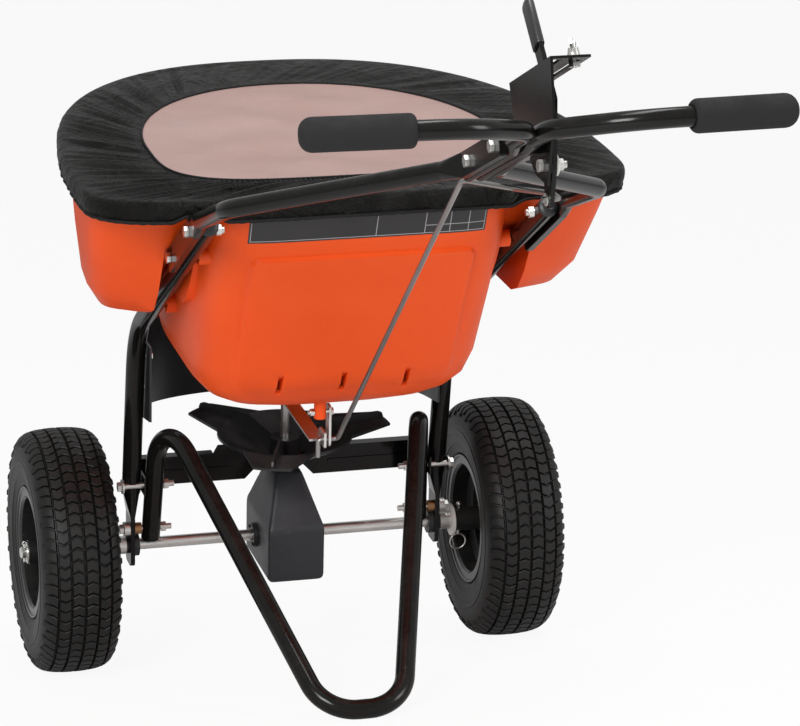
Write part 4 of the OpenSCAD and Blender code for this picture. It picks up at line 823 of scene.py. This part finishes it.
class SPREADER_OT_gearbox(bpy.types.Operator):
    """Moulded gearbox cover with rounded corners"""
    bl_idname = "spreader.gearbox"
    bl_label = "Gearbox cover"

    def execute(self, context):
        work = bmesh.new()
        for p in node_points("gearbox_cover"):
            work.verts.new(p)
        hull = bmesh.ops.convex_hull(work, input=work.verts)
        inner = {v for v in hull["geom_interior"] + hull["geom_unused"] if isinstance(v, bmesh.types.BMVert)}
        bmesh.ops.delete(work, geom=list(inner), context="VERTS")
        bmesh.ops.dissolve_limit(work, angle_limit=math.radians(4), verts=work.verts, edges=work.edges)
        bmesh.ops.recalc_face_normals(work, faces=work.faces)
        mesh = bpy.data.meshes.new("gearbox_skin")
        work.to_mesh(mesh)
        work.free()
        mesh.shade_smooth()
        mesh.materials.append(finish("gearbox_plastic"))
        skin = bpy.data.objects.new("gearbox_skin", mesh)
        context.scene.collection.objects.link(skin)
        cells = skin.modifiers.new("moulding_cells", "REMESH")
        cells.mode = "VOXEL"
        cells.voxel_size = 0.0025
        cells.use_smooth_shade = True
        soft = skin.modifiers.new("soft_edges", "SMOOTH")
        soft.factor = 0.5
        soft.iterations = int(context.scene.spreader_looks.gearbox_edge * 2.5)
        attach(skin, "frame")
        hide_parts("gearbox_cover")
        return {"FINISHED"}


class SPREADER_OT_grips(bpy.types.Operator):
    """Foam grips with rounded ends"""
    bl_idname = "spreader.grips"
    bl_label = "Foam grips"

    def execute(self, context):
        for name in ("grip_left", "grip_right"):
            p = node_points(name)
            middle = p.mean(0)
            axis = np.linalg.svd(p - middle, full_matrices=False)[2][0]
            axis *= 1 if axis[0] * middle[0] > 0 else -1
            along = (p - middle) @ axis
            radius = np.linalg.norm(p - middle - along[:, None] * axis, axis=1).max() * 1000
            length = (along.max() - along.min()) * 1000
            r = GRIP_END
            bend = [(1 - math.cos(a), math.sin(a)) for a in np.linspace(0, math.pi / 2, 7)]
            profile = [(0.0, 12.9)] + [(r * 0.5 * w, radius - r * 0.5 + r * 0.5 * q) for w, q in bend]
            profile += [(length - r * w, radius - r + r * q) for w, q in reversed(bend)]
            start = middle + axis * along.min()
            revolve(name + "_foam", start, axis, profile, finish("foam"), "frame", 48)
            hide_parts(name)
        self.lever_grip()
        return {"FINISHED"}

    def lever_grip(self):
        """Dipped grip with a rounded end over the lever's blade."""
        p = node_points("lever_grip")
        middle = (p.max(0) + p.min(0)) / 2
        axis = np.linalg.svd(p - p.mean(0), full_matrices=False)[2][0]
        axis *= np.sign(axis[2])
        across = np.cross(axis, [1.0, 0, 0])
        across /= np.linalg.norm(across)
        along = (p - middle) @ axis
        start, length = along.min() * 1000, (along.max() - along.min()) * 1000
        a = np.arange(40) * 2 * np.pi / 40
        c, s = np.cos(a), np.sin(a)
        ring = np.sign(c)[:, None] * np.abs(c)[:, None] ** 0.75 * across * LEVER_GRIP[0] / 2
        ring = ring + np.sign(s)[:, None] * np.abs(s)[:, None] ** 0.75 * np.array([1.0, 0, 0]) * LEVER_GRIP[1] / 2
        rows = [middle + (axis * (start + w) + ring * k) / 1000 for w, k in
                ((0.0, 0.93), (1.2, 1.0), (length - 6.0, 1.0), (length - 3.4, 0.95), (length - 1.6, 0.84),
                 (length - 0.5, 0.66), (length, 0.45))]
        faces = grid_faces(len(rows), 40) + [tuple(range(40)), tuple(range(240, 280))]
        dipped = piece("lever_grip_dipped", np.concatenate(rows), faces, finish("vinyl"), "control_lever", 50)
        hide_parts("lever_grip")


class SPREADER_OT_trim(bpy.types.Operator):
    """Caps of the tyre valves"""
    bl_idname = "spreader.trim"
    bl_label = "Small trim"

    def execute(self, context):
        cap = [(0, 3.4), (0.6, 4.0), (7.0, 4.0), (8.4, 3.2), (8.8, 1.4)]
        revolve("valve_cap_right", at([WHEEL_X + 11.0, 0, 55.5]), [1, 0, 0], cap, finish("vinyl"), "axle_set")
        revolve("valve_cap_left", at([-WHEEL_X - 11.0, 0, 55.5]), [-1, 0, 0], cap, finish("vinyl"), "left_wheel")
        return {"FINISHED"}


# ---------------------------------------------------------------- stage

# Camera fitted to the photograph.
CAMERA_PLACE = (-1.21794, -4.67872, 1.20624)
CAMERA_TURN = ((0.964524, 0.065267, -0.255801), (-0.262601, 0.137717, -0.955026),
               (-0.027104, 0.988319, 0.14997))
CAMERA_SHIFT = (-0.01663, 0.0055)
# Lamps: name, place, size, share of the key light's power.
LAMPS = (("key_light", (-2.4, -3.6, 2.4), (1.6, 1.6), 1.0), ("top_light", (0.3, -0.2, 3.6), (2.2, 0.8), 0.30),
         ("side_light", (3.2, -2.2, 1.7), (1.0, 1.8), 0.30))
LAMP_TARGET = (0, 0.1, 0.5)


def area(name, place, size, power):
    """A rectangular lamp that faces the spreader."""
    data = bpy.data.lights.new(name, "AREA")
    data.shape = "RECTANGLE"
    data.size, data.size_y = size
    data.energy = power
    lamp = bpy.data.objects.new(name, data)
    bpy.context.scene.collection.objects.link(lamp)
    lamp.location = place
    lamp.rotation_mode = "QUATERNION"
    lamp.rotation_quaternion = (Vector(LAMP_TARGET) - Vector(place)).to_track_quat("-Z", "Y")


class SPREADER_OT_stage(bpy.types.Operator):
    """Pale floor, soft studio light and the camera"""
    bl_idname = "spreader.stage"
    bl_label = "Stage"

    def execute(self, context):
        scene = context.scene
        looks = scene.spreader_looks
        mesh = bpy.data.meshes.new("studio_floor")
        mesh.from_pydata([(-30, -30, 0), (30, -30, 0), (30, 40, 0), (-30, 40, 0)], [], [(0, 1, 2, 3)])
        floor = bpy.data.objects.new("studio_floor", mesh)
        scene.collection.objects.link(floor)
        paper = bpy.data.materials.new("studio_paper")
        paper.use_nodes = True
        t = paper.node_tree
        shader = t.nodes["Principled BSDF"]
        path = t.nodes.new("ShaderNodeLightPath")
        shader.inputs["Base Color"].default_value = (0.9, 0.9, 0.9, 1)
        shader.inputs["Roughness"].default_value = 0.8
        shader.inputs["Specular IOR Level"].default_value = 0.1
        glow = t.nodes.new("ShaderNodeEmission")
        glow.inputs["Color"].default_value = (1, 1, 1, 1)
        both = t.nodes.new("ShaderNodeMixShader")
        t.links.new(math_node(t, "MULTIPLY", path.outputs["Is Camera Ray"], 0.92), both.inputs[0])
        t.links.new(shader.outputs[0], both.inputs[1])
        t.links.new(glow.outputs[0], both.inputs[2])
        t.links.new(both.outputs[0], t.nodes["Material Output"].inputs[0])
        mesh.materials.append(paper)
        world = bpy.data.worlds.new("studio_world")
        scene.world = world
        world.use_nodes = True
        w = world.node_tree
        back = w.nodes["Background"]
        back.inputs["Color"].default_value = (1, 1, 1, 1)
        ray = w.nodes.new("ShaderNodeLightPath")
        seen = math_node(w, "MULTIPLY", ray.outputs["Is Glossy Ray"], 0.25)
        seen = math_node(w, "ADD", seen, math_node(w, "MULTIPLY", ray.outputs["Is Transmission Ray"], 0.65))
        seen = math_node(w, "MAXIMUM", seen, math_node(w, "MULTIPLY", ray.outputs["Is Camera Ray"], 0.7))
        w.links.new(math_node(w, "ADD", seen, 0.3), back.inputs["Strength"])
        for name, place, size, share in LAMPS:
            area(name, place, size, looks.key * share)
        data = bpy.data.cameras.new("photo_camera")
        data.sensor_width = 36.0
        data.sensor_fit = "HORIZONTAL"
        data.lens = looks.camera_lens
        data.shift_x, data.shift_y = CAMERA_SHIFT
        data.clip_start, data.clip_end = 0.1, 100.0
        cam = bpy.data.objects.new("photo_camera", data)
        scene.collection.objects.link(cam)
        cam.matrix_world = Matrix.Translation(CAMERA_PLACE) @ Matrix(CAMERA_TURN).to_4x4()
        scene.camera = cam
        scene.view_settings.view_transform = "Standard"
        return {"FINISHED"}


class SPREADER_PT_panel(bpy.types.Panel):
    bl_label = "Salt spreader"
    bl_idname = "SPREADER_PT_panel"
    bl_space_type = "VIEW_3D"
    bl_region_type = "UI"
    bl_category = "Spreader"

    def draw(self, context):
        looks = context.scene.spreader_looks
        for name in SpreaderLooks.__annotations__:
            self.layout.prop(looks, name)
        for op in ORDER:
            self.layout.operator(op)


OPERATORS = (SPREADER_OT_finishes, SPREADER_OT_hopper, SPREADER_OT_shield, SPREADER_OT_label, SPREADER_OT_cover,
             SPREADER_OT_tyres, SPREADER_OT_gearbox, SPREADER_OT_grips, SPREADER_OT_trim, SPREADER_OT_stage)
CLASSES = (SpreaderLooks, *OPERATORS, SPREADER_PT_panel)
ORDER = tuple(made.bl_idname for made in OPERATORS)


def register():
    for c in CLASSES:
        bpy.utils.register_class(c)
    bpy.types.Scene.spreader_looks = bpy.props.PointerProperty(type=SpreaderLooks)


def unregister():
    del bpy.types.Scene.spreader_looks
    for c in reversed(CLASSES):
        bpy.utils.unregister_class(c)


def main():
    """Builds the looks in order."""
    register()
    for op in ORDER:
        group, name = op.split(".")
        result = getattr(getattr(bpy.ops, group), name)()
        if "FINISHED" not in result:
            raise RuntimeError(op + " did not finish")


if __name__ == "__main__":
    main()
